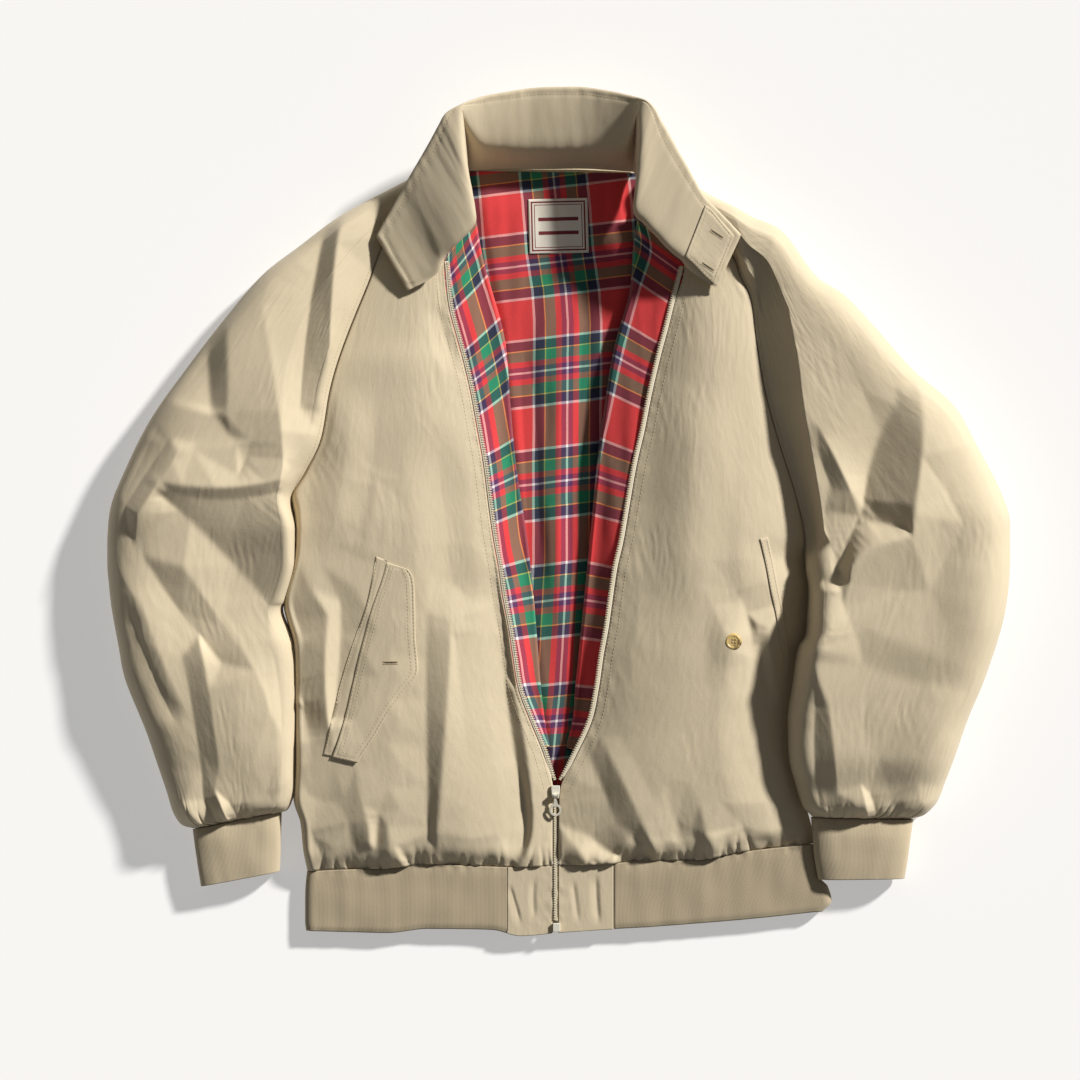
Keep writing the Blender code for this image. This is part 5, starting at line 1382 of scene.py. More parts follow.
class Surface:
    """The upper side of a piece, on which others lie."""

    def __init__(self, grids: Sequence[np.ndarray]) -> None:
        """Keeps a search tree of the grids' faces."""
        points: list[np.ndarray] = []
        faces: list[Sequence[int]] = []
        first = 0
        for grid in grids:
            index = numbered(grid.shape[:2], first, None)
            points.append(grid.reshape(-1, 3))
            faces.extend(quads(index, False).tolist())
            first += grid.shape[0] * grid.shape[1]
        self.tree = BVHTree.FromPolygons(np.concatenate(points).tolist(), faces)

    def cast(self, x: float, y: float) -> tuple[Vector | None, Vector | None]:
        """The surface's place and normal under a point far above, or twice None beside it."""
        return self.tree.ray_cast(Vector((x, y, 500.0)), Vector((0, 0, -1)))[:2]

    def touch(self, x: float, y: float) -> tuple[np.ndarray, np.ndarray] | None:
        """The surface's place and its normal at a plan place, or None beside it."""
        place, normal = self.cast(x, y)
        if place is None:
            return None
        return np.array(place), np.array(normal if normal.z > 0 else -normal)

    def heights(self, plan: np.ndarray) -> np.ndarray:
        """The heights at many places; beside the surface, that of its nearest place."""
        found = np.zeros(plan.shape[:-1])
        for at in np.ndindex(found.shape):
            place = self.cast(*plan[at])[0]
            if place is None:
                place = self.tree.find_nearest(Vector((*plan[at], 40.0)))[0]
            found[at] = place.z
        return found


@dataclass(frozen=True)
class Cut:
    """What a sheet of cloth was cut to: width, length and area in metres, and what it lies on."""

    width: float
    length: float
    area: float
    rests_on: tuple[str, ...] = ()


def dress(thing: bpy.types.Object, finish: object, nodes: Sequence[str] = (),
          body: str = "jacket") -> bpy.types.Object:
    """Gives a piece its finish, its body and the nodes it stands for.

    Args:
        thing: The piece.
        finish: Its finish.
        nodes: The solids that it replaces.
        body: What it moves with.

    Returns:
        The piece.
    """
    thing.data.materials.clear()
    thing.data.materials.append(finish.material(f"{finish.slot.value}_{thing.name}"))
    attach(thing, body)
    if nodes:
        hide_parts(*nodes)
    LOG.info("%s: %d faces", thing.name, len(thing.data.polygons))
    return thing


# ---------------------------------------------------------------- the shell


@dataclass
class Sleeve:
    """A raglan sleeve: open to the body down to the underarm, then a tube.

    Where it is open it rises from the seam to its crest, the more slowly the more hollow it is. Its
    tube's inner side is at tube_z, and its outer side at side_share of its loft.
    """

    name: str
    node: str
    table: Table
    folds: Table
    creases: Table
    hand: int
    seed: int
    hollow: float
    cut: Cut
    tube_z: float = 15.0
    side_share: float = 0.28
    side_reach: float = 0.32
    rows: int = 340
    across: int = 148

    def build(self) -> bpy.types.Object:
        """Makes the sleeve.

        Returns:
            The sleeve, with its upper side kept in self.top.
        """
        outer = places(self.table, SLEEVE_COLUMNS, "outer")
        inner = places(self.table, SLEEVE_COLUMNS, "inner")
        inner[:RAGLAN_ROWS] = shifted(inner[:RAGLAN_ROWS], -self.hand * SEAM_GAP / 2)
        inner[RAGLAN_ROWS:] += (self.hand * LAP, 0.0)
        at = evenly((outer + inner) / 2, thirds(self.rows))
        ring_from = thirds(int(np.searchsorted(at, RAGLAN_ROWS))) - 1
        at = np.concatenate((np.interp(np.linspace(0, 1, ring_from + 1), (0, 1), (0, RAGLAN_ROWS)),
                             np.linspace(RAGLAN_ROWS, at[-1], len(at) - ring_from)[1:]))
        outer, inner = between(outer, at), between(inner, at)
        seam_z, loft, crest = read(self.table, SLEEVE_COLUMNS, at, "seam_z", "loft", "crest")
        closed = ease(at - RAGLAN_ROWS + 1)[:, None]
        seam_z = seam_z + (self.tube_z - seam_z) * closed
        width = np.linalg.norm(outer - inner, axis=1)[:, None]
        roll = np.minimum(ROLL, width / 4)
        edge = np.array([0.0, 0.05, 0.16, 0.34, 0.62])
        step = np.linspace(0.0, 1.0, self.across)
        spread = 0.7 * step + 0.3 * (0.5 - 0.5 * np.cos(math.pi * step))
        below = np.hstack((roll * edge, roll + (width - 2 * roll) * np.linspace(0, 1, 5),
                           width - roll * edge[::-1][:-1]))
        above = np.hstack((width, width - roll * edge[1:],
                           width - roll - (width - 2 * roll) * spread, roll * edge[::-1]))
        side_z = self.side_share * loft
        under = np.where(below > width / 2, side_z * (1 - arch((width - below) / roll)),
                         seam_z * closed * (1 - swell(below / roll)))
        outside = side_z + (loft - side_z) * arch((width - above) / (self.side_reach * width), 2.5)
        risen = above / (crest * width)
        rise = np.clip(risen, 0, 1) ** self.hollow * (1 - closed) + arch(risen, 2.2) * closed
        top = np.where(above > width / 2, outside, seam_z + (loft - seam_z) * rise)
        plan = ruled_grid(inner, outer, np.hstack((below, above)) / width)
        over = plan[:, below.shape[1]:]
        kept = ease(np.minimum(width - above, above * 1.6) / (14.0 - 5.0 * closed))
        x, y = over[:, :, 0], over[:, :, 1]
        texture = self.texture(above / width, gone_along((outer + inner) / 2)[:, None])
        added = (relief(x, y, self.folds) + creased(x, y, self.creases) + texture) * kept
        top = np.maximum(top + added, np.minimum(top, side_z + 3.0))
        grid = np.dstack((plan, np.hstack((under, top))))
        grid[ring_from:, -1] = grid[ring_from:, 0]
        self.top = grid[:, below.shape[1]:]
        coarse = grid[::COARSE, ::COARSE]
        wrapped = np.arange(len(coarse)) >= ring_from // COARSE
        normal = grid_normals(coarse, wrapped) * self.hand
        normal[~wrapped, 0], normal[~wrapped, -1] = (0, 0, -1), (0, 0, 1)
        level_ends(normal, [row[0, :2] - row[len(row) // 2, :2] for row in (coarse[0], coarse[-1])])
        thing = cloth_wall(self.name, grid, coarse - normal * SHELL, cloth_uv(grid), self.hand,
                           ring_from)
        return dress(thing, ShellCloth(), [self.node])

    def texture(self, share: np.ndarray, along: np.ndarray) -> np.ndarray:
        """The creases and gathers that are too small for the table.

        Args:
            share: Shares of the way from the seam to the outer side.
            along: How far down the sleeve each row is.

        Returns:
            The height to add.
        """
        u, v = share * 150.0, np.broadcast_to(along, share.shape)
        return crinkle(u, v, self.seed) + drawn_in(u, v, along[-1] - v, 2.6, 1.6, 12.0, 16, self.seed)


@dataclass
class Front:
    """A front: raised over the body, down onto the back at the side and open at the zip.

    Below the underarm it rises from side_from over side_reach, the more steeply the greater side_power.
    """

    name: str
    node: str
    table: Table
    sleeve_table: Table
    folds: Table
    creases: Table
    hand: int
    seed: int
    cut: Cut
    side_from: float
    side_reach: float
    side_power: float
    rows: int = 330
    across: int = 154

    def plan(self, at: np.ndarray, share: np.ndarray, tucked: bool = False) -> np.ndarray:
        """Plan places from the side to the zip.

        Args:
            at: Row numbers of the table.
            share: Shares of the way from the side to the zip.
            tucked: Whether the side goes on under the sleeve as a seam's allowance does.

        Returns:
            A grid of x and y.
        """
        side = places(self.table, FRONT_COLUMNS, "side")
        zipped = places(self.table, FRONT_COLUMNS, "zip")[:, :2]
        seam = places(self.sleeve_table[:RAGLAN_ROWS], SLEEVE_COLUMNS, "inner")
        side[:RAGLAN_ROWS] = shifted(seam, self.hand * SEAM_GAP / 2)
        side, zipped = between(side, at), between(zipped, at)
        if tucked:
            under = TUCK * (1 - ease(at - RAGLAN_ROWS + 1.5))[:, None]
            way = side - zipped
            side = side + way / np.linalg.norm(way, axis=1)[:, None] * under
        plan = ruled_grid(side, zipped, share)
        last = plan[-1]
        chord = last[0, 1] + share * (last[-1, 1] - last[0, 1])
        sag = hem_y(last[:, 0]) - chord
        bent = np.clip(1 - (len(self.table) - 1 - at) / 4, 0, 1)
        plan[:, :, 1] += bent[:, None] * sag[None, :]
        return plan

    def build(self) -> bpy.types.Object:
        """Makes the front.

        Returns:
            The front, with its upper side kept in self.top.
        """
        at = evenly(places(self.table, FRONT_COLUMNS, "zip")[:, :2], thirds(self.rows))
        step = np.linspace(0.0, 1.0, thirds(self.across))
        share = 0.8 * step + 0.2 * (0.5 - 0.5 * np.cos(math.pi * step))
        plan = self.plan(at, share, True)
        zip_z, loft = read(self.table, FRONT_COLUMNS, at, "zip_z", "loft")
        edge = np.full(len(self.table), SIDE_EDGE_Z)
        edge[:RAGLAN_ROWS] = column(self.sleeve_table, SLEEVE_COLUMNS, "seam_z")[:RAGLAN_ROWS]
        side_z = between(edge, at)
        from_side = np.linalg.norm(plan - plan[:, :1], axis=2)
        from_zip = np.linalg.norm(plan - plan[:, -1:], axis=2)
        width = from_side[:, -1:]
        tuck = TUCK * (1 - ease(at - RAGLAN_ROWS + 1.5))[:, None]
        rolled = ease((at - RAGLAN_ROWS + 4) / 4)[:, None]
        up = (arch((from_side - tuck) / (0.45 * width), 1.35) * (1 - rolled)
              + arch((from_side - self.side_from) / self.side_reach, self.side_power) * rolled)
        near_zip = 1 - swell(from_zip / (0.45 * width))
        top = loft - (loft - side_z) * (1 - up) - (loft - zip_z) * near_zip
        kept = ease((from_side - tuck) / 10.0) * ease(from_zip / 3.0)
        x, y = plan[:, :, 0], plan[:, :, 1]
        added = relief(x, y, self.folds) + creased(x, y, self.creases, 16.0)
        top += (added + self.texture(plan, from_zip)) * kept
        top -= TUCK_DROP * np.minimum(tuck, 1.0) * (1 - ease((from_side - tuck * 0.75) / 2.4))
        top = np.maximum(top, np.minimum(side_z, SIDE_EDGE_Z))
        self.top = np.dstack((plan, top))
        under = hung_under(self.top[::COARSE, ::COARSE], SHELL, BACK_SHELL + SEAM_GAP)
        thing = cloth_wall(self.name, self.top, under, cloth_uv(self.top), self.hand)
        return dress(thing, ShellCloth(), [self.node])

    def texture(self, plan: np.ndarray, from_zip: np.ndarray) -> np.ndarray:
        """The creases and gathers that are too small for the table.

        Args:
            plan: Places across and along.
            from_zip: How far each is from the zip.

        Returns:
            The height to add.
        """
        x, y = plan[:, :, 0], plan[:, :, 1]
        drawn = drawn_in(x, y, y - hem_y(x), 2.7, 1.2, 11.0, 15, self.seed)
        pucker = 0.35 * grain(y, from_zip, (6.5, 12), self.seed + 30) * np.exp(-(from_zip / 9) ** 2)
        return crinkle(x, y, self.seed, 0.9) + drawn + pucker


@dataclass
class Back:
    """The back, flat on the ground under the fronts."""

    left: Front
    right: Front

    def build(self) -> bpy.types.Object:
        """Makes the back."""
        at = np.linspace(0, len(FRONT_LEFT) - 1, thirds(120))
        ends = [side.plan(at, np.array((0.0, 1.0)))[:, 0] for side in (self.left, self.right)]
        neck = [np.array(COLLAR_LINE[k][0:2], float) + (0.0, 3.5) for k in NECK_STATIONS]
        left, right = (np.vstack((np.linspace(start, line[0], 4)[:-1], line))
                       for start, line in zip(neck, ends))
        plan = ruled_grid(left, right, np.linspace(0.0, 1.0, thirds(60)))
        last = plan[-1]
        sag = hem_y(last[:, 0]) + 6 * SEAM_GAP - last[:, 1]
        bent = np.clip(1 - (len(plan) - 1 - np.arange(len(plan))) / 12, 0, 1)
        plan[:, :, 1] += bent[:, None] * sag[None, :]
        grid = np.dstack((plan, np.full(plan.shape[:2], BACK_SHELL)))
        under = grid[::COARSE, ::COARSE].copy()
        under[:, :, 2] = 0.0
        thing = cloth_wall("back_panel", grid, under, cloth_uv(grid), 1)
        return dress(thing, ShellCloth(), ["back"])


@dataclass
class Cuff:
    """A rib cuff: a flattened ring, open at the hand."""

    name: str
    node: str
    table: Table
    hand: int
    lap: float = 0.0
    rows: int = 60
    around: int = 150

    def build(self) -> bpy.types.Object:
        """Makes the cuff."""
        at = np.linspace(0, len(self.table) - 1, thirds(self.rows))
        outer, inner, top = (between(values, at) for values in (
            places(self.table, CUFF_COLUMNS, "outer"), places(self.table, CUFF_COLUMNS, "inner"),
            column(self.table, CUFF_COLUMNS, "top")))
        inner = inner + (self.hand * self.lap, 0.0)
        turn = np.linspace(math.pi, -math.pi, thirds(self.around))
        share = 0.5 - 0.5 * np.sign(np.cos(turn)) * np.abs(np.cos(turn)) ** 0.55
        lift = np.abs(np.sin(turn)) ** 0.62
        z = top / 2 * np.where(turn < 0, 1 + lift, 1 - lift)[None, :]
        plan = ruled_grid(inner, outer, share[::-1])
        across = np.broadcast_to(share[None, ::-1] * 80, z.shape)
        down = np.broadcast_to(at[:, None] * 18, z.shape)
        soft = grain(across, down, (26, 30), 61) * 0.7 + grain(across, down, (11, 40), 62) * 0.35
        seam = np.exp(-(down / 6) ** 2) * grain(across, np.zeros_like(down), (5, 10), 63) * 0.8
        z = z + (soft + seam) * ease(np.where(turn < 0, lift, 0.0))[None, :] - 0.6 * np.exp(
            -(down / 3) ** 2) * (turn < 0)[None, :] * lift[None, :]
        grid = np.dstack((plan, z))
        grid[:, -1] = grid[:, 0]
        coarse = grid[::COARSE, ::COARSE]
        normal = grid_normals(coarse, np.ones(len(coarse), bool)) * self.hand
        level_ends(normal, [outer[end] - inner[end] for end in (0, -1)])
        thing = cloth_wall(self.name, grid, coarse + normal * RIB, cloth_uv(grid), -self.hand, 0)
        return dress(thing, RibKnit((0.54, 0.445, 0.30), (0.47, 0.385, 0.255)), [self.node])


@dataclass
class Hem:
    """The hem rib, one strip round the body, and the plain cloth at its ends beside the zip."""

    rows: int = 46
    roll: float = 8.0
    half: int = 96       # places across each half of the upper face

    def band(self) -> bpy.types.Object:
        """Makes the rib."""
        depth = np.linspace(0.0, 1.0, thirds(self.rows))
        stations = column(HEM_ENDS, HEM_END_COLUMNS, "depth")
        at = np.interp(depth, stations, np.arange(len(stations)))
        left, right = read(HEM_ENDS, HEM_END_COLUMNS, at, "left_x", "right_x")
        curve = np.array([0.0, 0.04, 0.12, 0.26, 0.46, 0.7, 1.0]) * self.roll
        x = []
        for a, b in zip(left[:, 0], right[:, 0]):
            row = [np.linspace(PLACKET_LEFT_X, a + 9, self.half), a + curve[::-1], a + curve[1:],
                   np.linspace(a + 20, b - 20, 12), b - curve[::-1], b - curve[1:],
                   np.linspace(b - 9, PLACKET_RIGHT_X, self.half)]
            x.append(np.concatenate(row))
        x = np.array(x)
        spare = spare_lines(x.shape[1])
        if spare:
            x = np.hstack((np.repeat(x[:, :1], spare, axis=1), x))
            x[:, :spare + 1] = np.linspace(x[:, spare], x[:, spare + 1], spare + 2)[:-1].T
        rank = np.arange(x.shape[1]) - spare
        upper = self.half + len(curve)
        above = (rank < upper) | (rank > x.shape[1] - spare - upper)
        near = np.minimum(x - left, right - x)
        side_z = HEM_TOP / 2
        z = np.where(above[None, :], side_z + (HEM_TOP - side_z) * arch(near / self.roll),
                     side_z * (1 - arch(near / self.roll)))
        down = depth[:, None]
        y = hem_y(x) * (1 - down) + hem_y(x, "edge_y") * down - SEAM_GAP * (1 - down)
        soft = grain(x, y, (34, 30), 71) * 0.8 + grain(x, y, (12, 60), 72) * 0.35
        seam = np.exp(-(down * 52 / 5) ** 2) * (grain(x, np.zeros_like(y), (6, 10), 73) * 0.7 - 0.5)
        edge = -1.0 * np.exp(-((1 - down) * 52 / 2.5) ** 2)
        z = z + (soft + seam + edge) * above[None, :] * ease(near / 12)
        grid = np.dstack((x, y, z))
        coarse = grid[::COARSE, ::COARSE]
        normal = grid_normals(coarse)
        normal[:, :, 1] = 0.0
        normal /= np.linalg.norm(normal, axis=2)[:, :, None]
        middle = coarse.shape[1] // 2
        sign = 1.0 if normal[0, middle, 2] < 0 else -1.0
        normal[:, 1:-1] *= sign
        normal[:, 0] = normal[:, -1] = (0, 0, 1)
        thing = cloth_wall("hem_rib", grid, coarse - normal * RIB, cloth_uv(grid), int(sign))
        return dress(thing, RibKnit(), ["hem_band"])

    def placket(self, name: str, node: str, start: float, end: float) -> bpy.types.Object:
        """Makes the plain cloth at one end.

        Args:
            name: The piece's name.
            node: The solid it replaces.
            start: Its left edge.
            end: Its right edge.

        Returns:
            The piece.
        """
        x = np.linspace(start, end, thirds(60))
        depth = np.linspace(0.0, 1.0, thirds(70))[:, None]
        y = (hem_y(x) - SEAM_GAP)[None, :] * (1 - depth) + hem_y(x, "edge_y")[None, :] * depth
        x = np.broadcast_to(x, y.shape)
        z = np.full(y.shape, HEM_TOP) + relief(x, y, FOLDS_PLACKET) + crinkle(x, y, 77, 1.1)
        near = np.abs(x - CHAIN_X)
        z = z + 0.35 * grain(y, near, (6.5, 9), 79) * np.exp(-(near / 9) ** 2)
        grid = np.dstack((x, y, z))
        thing = cloth_wall(name, grid, hung_under(grid[::COARSE, ::COARSE], 2.2), cloth_uv(grid), 1)
        return dress(thing, ShellCloth(), [node])


@dataclass
class Collar:
    """The stand collar, its ends rolled over onto the shoulders."""

    rows: int = 300
    across: int = 46

    def build(self) -> bpy.types.Object:
        """Makes the collar.

        Returns:
            The collar, with its upper face kept in self.upper and its stitching lines in
            self.stitch_lines.
        """
        stations = [places(COLLAR_LINE, COLLAR_COLUMNS, stem) for stem in ("seam", "roll", "edge")]
        at = evenly(stations[2], thirds(self.rows))
        seam, roll, edge = (between(line, at)[:, None] for line in stations)
        over = (edge - seam) * 0.5
        parts = []
        t = np.linspace(0.0, 1.0, self.across // 2 + 1)[None, :, None]
        for a, b, run_a, run_b in ((seam, roll, roll - seam, over), (roll, edge, over, edge - roll)):
            turned = (t ** 3 - 2 * t ** 2 + t) * run_a + (t ** 3 - t ** 2) * run_b
            parts.append(a + (3 * t ** 2 - 2 * t ** 3) * (b - a) + turned * 0.8)
        grid = np.concatenate((parts[0][:, :-1], parts[1]), axis=1)
        spare = spare_lines(grid.shape[1])
        if spare:
            extra = grid[:, :1] + (grid[:, 1:2] - grid[:, :1]) * np.linspace(0, 1, spare + 2)[1:-1, None]
            grid = np.concatenate((grid[:, :1], extra, grid[:, 1:]), axis=1)
        uv = cloth_uv(grid)
        u, v = uv[:, :, 0], uv[:, :, 1]
        normal = grid_normals(grid)
        from_edge = np.minimum(u.max() - u, np.minimum(v - v.min(), v.max() - v))
        stitch = -0.45 * np.exp(-((from_edge - 6.0) / 1.6) ** 2)
        edge_soft = -0.8 * np.exp(-(from_edge / 1.4) ** 2)
        pucker = 0.3 * grain(v, u, (5.5, 9), 91) * np.exp(-((from_edge - 5) / 5) ** 2)
        soft = grain(u, v, (40, 60), 92) * 0.8 + grain(v, u, (9, 30), 93) * 0.22
        lift = stitch + edge_soft + pucker + soft
        outer = grid + normal * (COLLAR / 2 + lift[:, :, None])
        inner = (grid - normal * (COLLAR / 2 + edge_soft[:, :, None]))[::COARSE, ::COARSE]
        side = 1.0 if normal[:, :, 2].mean() > 0 else -1.0
        self.upper = outer if side > 0 else grid - normal * COLLAR / 2
        col = int(np.argmin(np.abs(u[0].max() - u[0] - 6.0)))
        first, last = (int(np.argmin(np.abs(v[:, 0] - end))) for end in (v.max() - 6.0, v.min() + 6.0))
        rows, cols = slice(min(first, last), max(first, last) + 1), slice(4, col + 1)
        self.stitch_lines = [(self.upper[at], normal[at] * side)
                             for at in ((rows, col), (first, cols), (last, cols))]
        thing = cloth_wall("collar_shell", outer, inner, uv[:, :, ::-1], 1)
        return dress(thing, ShellCloth(crease_mm=0.05), ["collar"])


@dataclass
class Laid:
    """A flat piece that lies on a panel, by lines across it."""

    name: str
    node: str
    lines: Table
    on: Surface
    thickness: float
    finish: object
    cut: Cut
    rows: int = 90
    across: int = 30
    gap: float = 0.35
    free_right: float = 0.0
    free_end: float = 0.0
    seed: int = 101

    def build(self) -> bpy.types.Object:
        """Makes the piece.

        Returns:
            The piece, with its upper side kept in self.top.
        """
        left, right = (places(self.lines, RULED_COLUMNS, stem) for stem in ("left", "right"))
        at = evenly((left + right) / 2, thirds(self.rows))
        left, right = between(left, at), between(right, at)
        share = np.linspace(0.0, 1.0, thirds(self.across))
        plan = ruled_grid(left, right, share)
        low = self.on.heights(plan)
        low = np.maximum(low, smoothed(low)) + self.gap
        down = np.linspace(0, 1, len(plan))[:, None]
        low = low + self.free_right * share[None, :] ** 2 + self.free_end * down ** 3
        from_edge = np.minimum(np.minimum(share, 1 - share)[None, :] * np.linalg.norm(
            right - left, axis=1)[:, None], np.minimum(down, 1 - down) * np.linalg.norm(
                left[-1] - left[0]))
        stitch = -0.3 * np.exp(-((from_edge - 2.5) / 1.0) ** 2)
        soft = crinkle(plan[:, :, 0], plan[:, :, 1], self.seed, 0.35)
        top = low + self.thickness + stitch + soft - 0.4 * np.exp(-(from_edge / 0.8) ** 2)
        self.top = np.dstack((plan, top))
        under = np.dstack((plan, low))[::COARSE, ::COARSE]
        thing = cloth_wall(self.name, self.top, under, cloth_uv(self.top), 1)
        return dress(thing, self.finish, [self.node])


# ---------------------------------------------------------------- the lining


@dataclass
class SideLining:
    """The lining inside a front: level with the zip, turned under at its fold over the back.

    It goes on under the zip's tape by hidden, and turns within bend of its fold, down to tucked_z.
    """

    name: str
    nodes: tuple[str, ...]
    table: Table
    hand: int
    side: str
    stripe_from: float
    rows: int = 240
    hidden: float = 8.0
    bend: float = 3.0
    tucked_z: float = 5.5

    def build(self) -> bpy.types.Object:
        """Makes the lining."""
        zipped, fold = (places(self.table, LINING_COLUMNS, stem) for stem in ("zip", "fold"))
        at = evenly(zipped, thirds(self.rows))
        zipped, fold = between(zipped, at), between(fold, at)
        zip_z, fold_z = zipped[:, 2:], fold[:, 2:]
        way = fold[:, :2] - zipped[:, :2]
        width = np.linalg.norm(way, axis=1)[:, None]
        q = np.linspace(0.0, 1.0, 40)[None, :]
        flat = np.hstack((np.full_like(width, -self.hidden), q * (width - self.bend)))
        level = np.hstack((zip_z, zip_z + (fold_z - zip_z) * ease(q) + 0.6 * np.sin(q * math.pi)))
        turn = np.linspace(0.0, 1.0, 9)[None, 1:]
        rolled = width - self.bend + self.bend * np.sin(turn * math.pi / 2)
        dropped = fold_z - (fold_z - self.tucked_z) * (1 - np.cos(turn * math.pi / 2))
        reach = np.hstack((flat, rolled))
        spare = spare_lines(reach.shape[1])
        further = np.linspace(-self.hidden - spare, -self.hidden - 1, spare)
        reach = np.hstack((np.tile(further, (len(width), 1)), reach))
        z = np.hstack((np.repeat(zip_z, spare, axis=1), level, dropped))
        plan = zipped[:, None, :2] + (way / width)[:, None] * reach[:, :, None]
        x, y = plan[:, :, 0], plan[:, :, 1]
        soft = grain(x, y, (14, 80), 111 + self.hand) * 1.1 + grain(x, y, (7, 30), 114) * 0.25
        z = z + soft * ease(reach / 8) * ease((width - reach) / 5)
        grid = np.dstack((plan, z))
        uv = np.dstack((reach - self.stripe_from, stripes_along(self.side, y, reach)))
        thing = cloth_wall(self.name, grid, hung_under(grid[::COARSE, ::COARSE], LINING), uv,
                           self.hand)
        return dress(thing, TartanCloth(), self.nodes)


@dataclass
class BackLining:
    """The lining of the back, as far as it shows in the open front, and the label on it."""

    def build(self) -> bpy.types.Object:
        """Makes the lining, with its upper side kept in self.top."""
        base = BACK_SHELL + LAYER_GAP + LINING
        left, right = (places(LINING_BACK, RULED_COLUMNS, stem) for stem in ("left", "right"))
        at = evenly(left, thirds(260))
        left, right = between(left, at), between(right, at)
        plan = ruled_grid(left, right, np.linspace(0.0, 1.0, thirds(100)))
        near = np.minimum(np.linalg.norm(plan - plan[:, :1], axis=2),
                          np.linalg.norm(plan - plan[:, -1:], axis=2))
        x, y = plan[:, :, 0], plan[:, :, 1]
        soft = grain(x, y, (16, 120), 121) * 1.0 + grain(x, y, (8, 40), 122) * 0.3
        rise = np.maximum(2.5 + relief(x, y, FOLDS_LINING_BACK) + soft, 0.2)
        z = base + rise * ease((near - 10) / 12) * ease((301 - y) / 40)
        self.top = np.dstack((plan, z))
        under = hung_under(self.top[::COARSE, ::COARSE], LINING, BACK_SHELL + LAYER_GAP)
        down = CREASE_ORIGIN[1] - y / CREASE_STEP
        middle = np.interp(down, *(column(MIDDLE_LINE, MIDDLE_LINE_COLUMNS, name) for name in "yx"))
        middle = (middle - CREASE_ORIGIN[0]) * CREASE_STEP
        uv = np.dstack((x - middle, stripes_along("middle", y, x - middle)))
        thing = cloth_wall("lining_back_panel", self.top, under, uv, 1)
        return dress(thing, TartanCloth(), ["lining_back"])

    def label(self, on: Surface) -> bpy.types.Object:
        """Makes the label.

        Args:
            on: The surface that it is sewn to.

        Returns:
            The label.
        """
        turn = math.radians(LABEL_TURN)
        u = np.linspace(-0.5, 0.5, thirds(46)) * LABEL_SIZE[0]
        v = np.linspace(0.5, -0.5, thirds(43))[:, None] * LABEL_SIZE[1]
        u, v = np.broadcast_arrays(u[None, :], v)
        plan = np.dstack((LABEL_CENTRE[0] + u * math.cos(turn) - v * math.sin(turn),
                          LABEL_CENTRE[1] + u * math.sin(turn) + v * math.cos(turn)))
        low = smoothed(on.heights(plan), 3) + 0.35
        from_edge = np.minimum(LABEL_SIZE[0] / 2 - np.abs(u), LABEL_SIZE[1] / 2 - np.abs(v))
        top = low + 0.7 - 0.3 * np.exp(-(from_edge / 0.7) ** 2) + 0.25 * grain(u, v, (15, 18), 131)
        grid = np.dstack((plan, top))
        under = np.dstack((plan, low))[::COARSE, ::COARSE]
        thing = cloth_wall("neck_label", grid, under, np.dstack((u, v)), 1)
        return dress(thing, LabelCloth(), ["label"])


# ---------------------------------------------------------------- sewing and zip


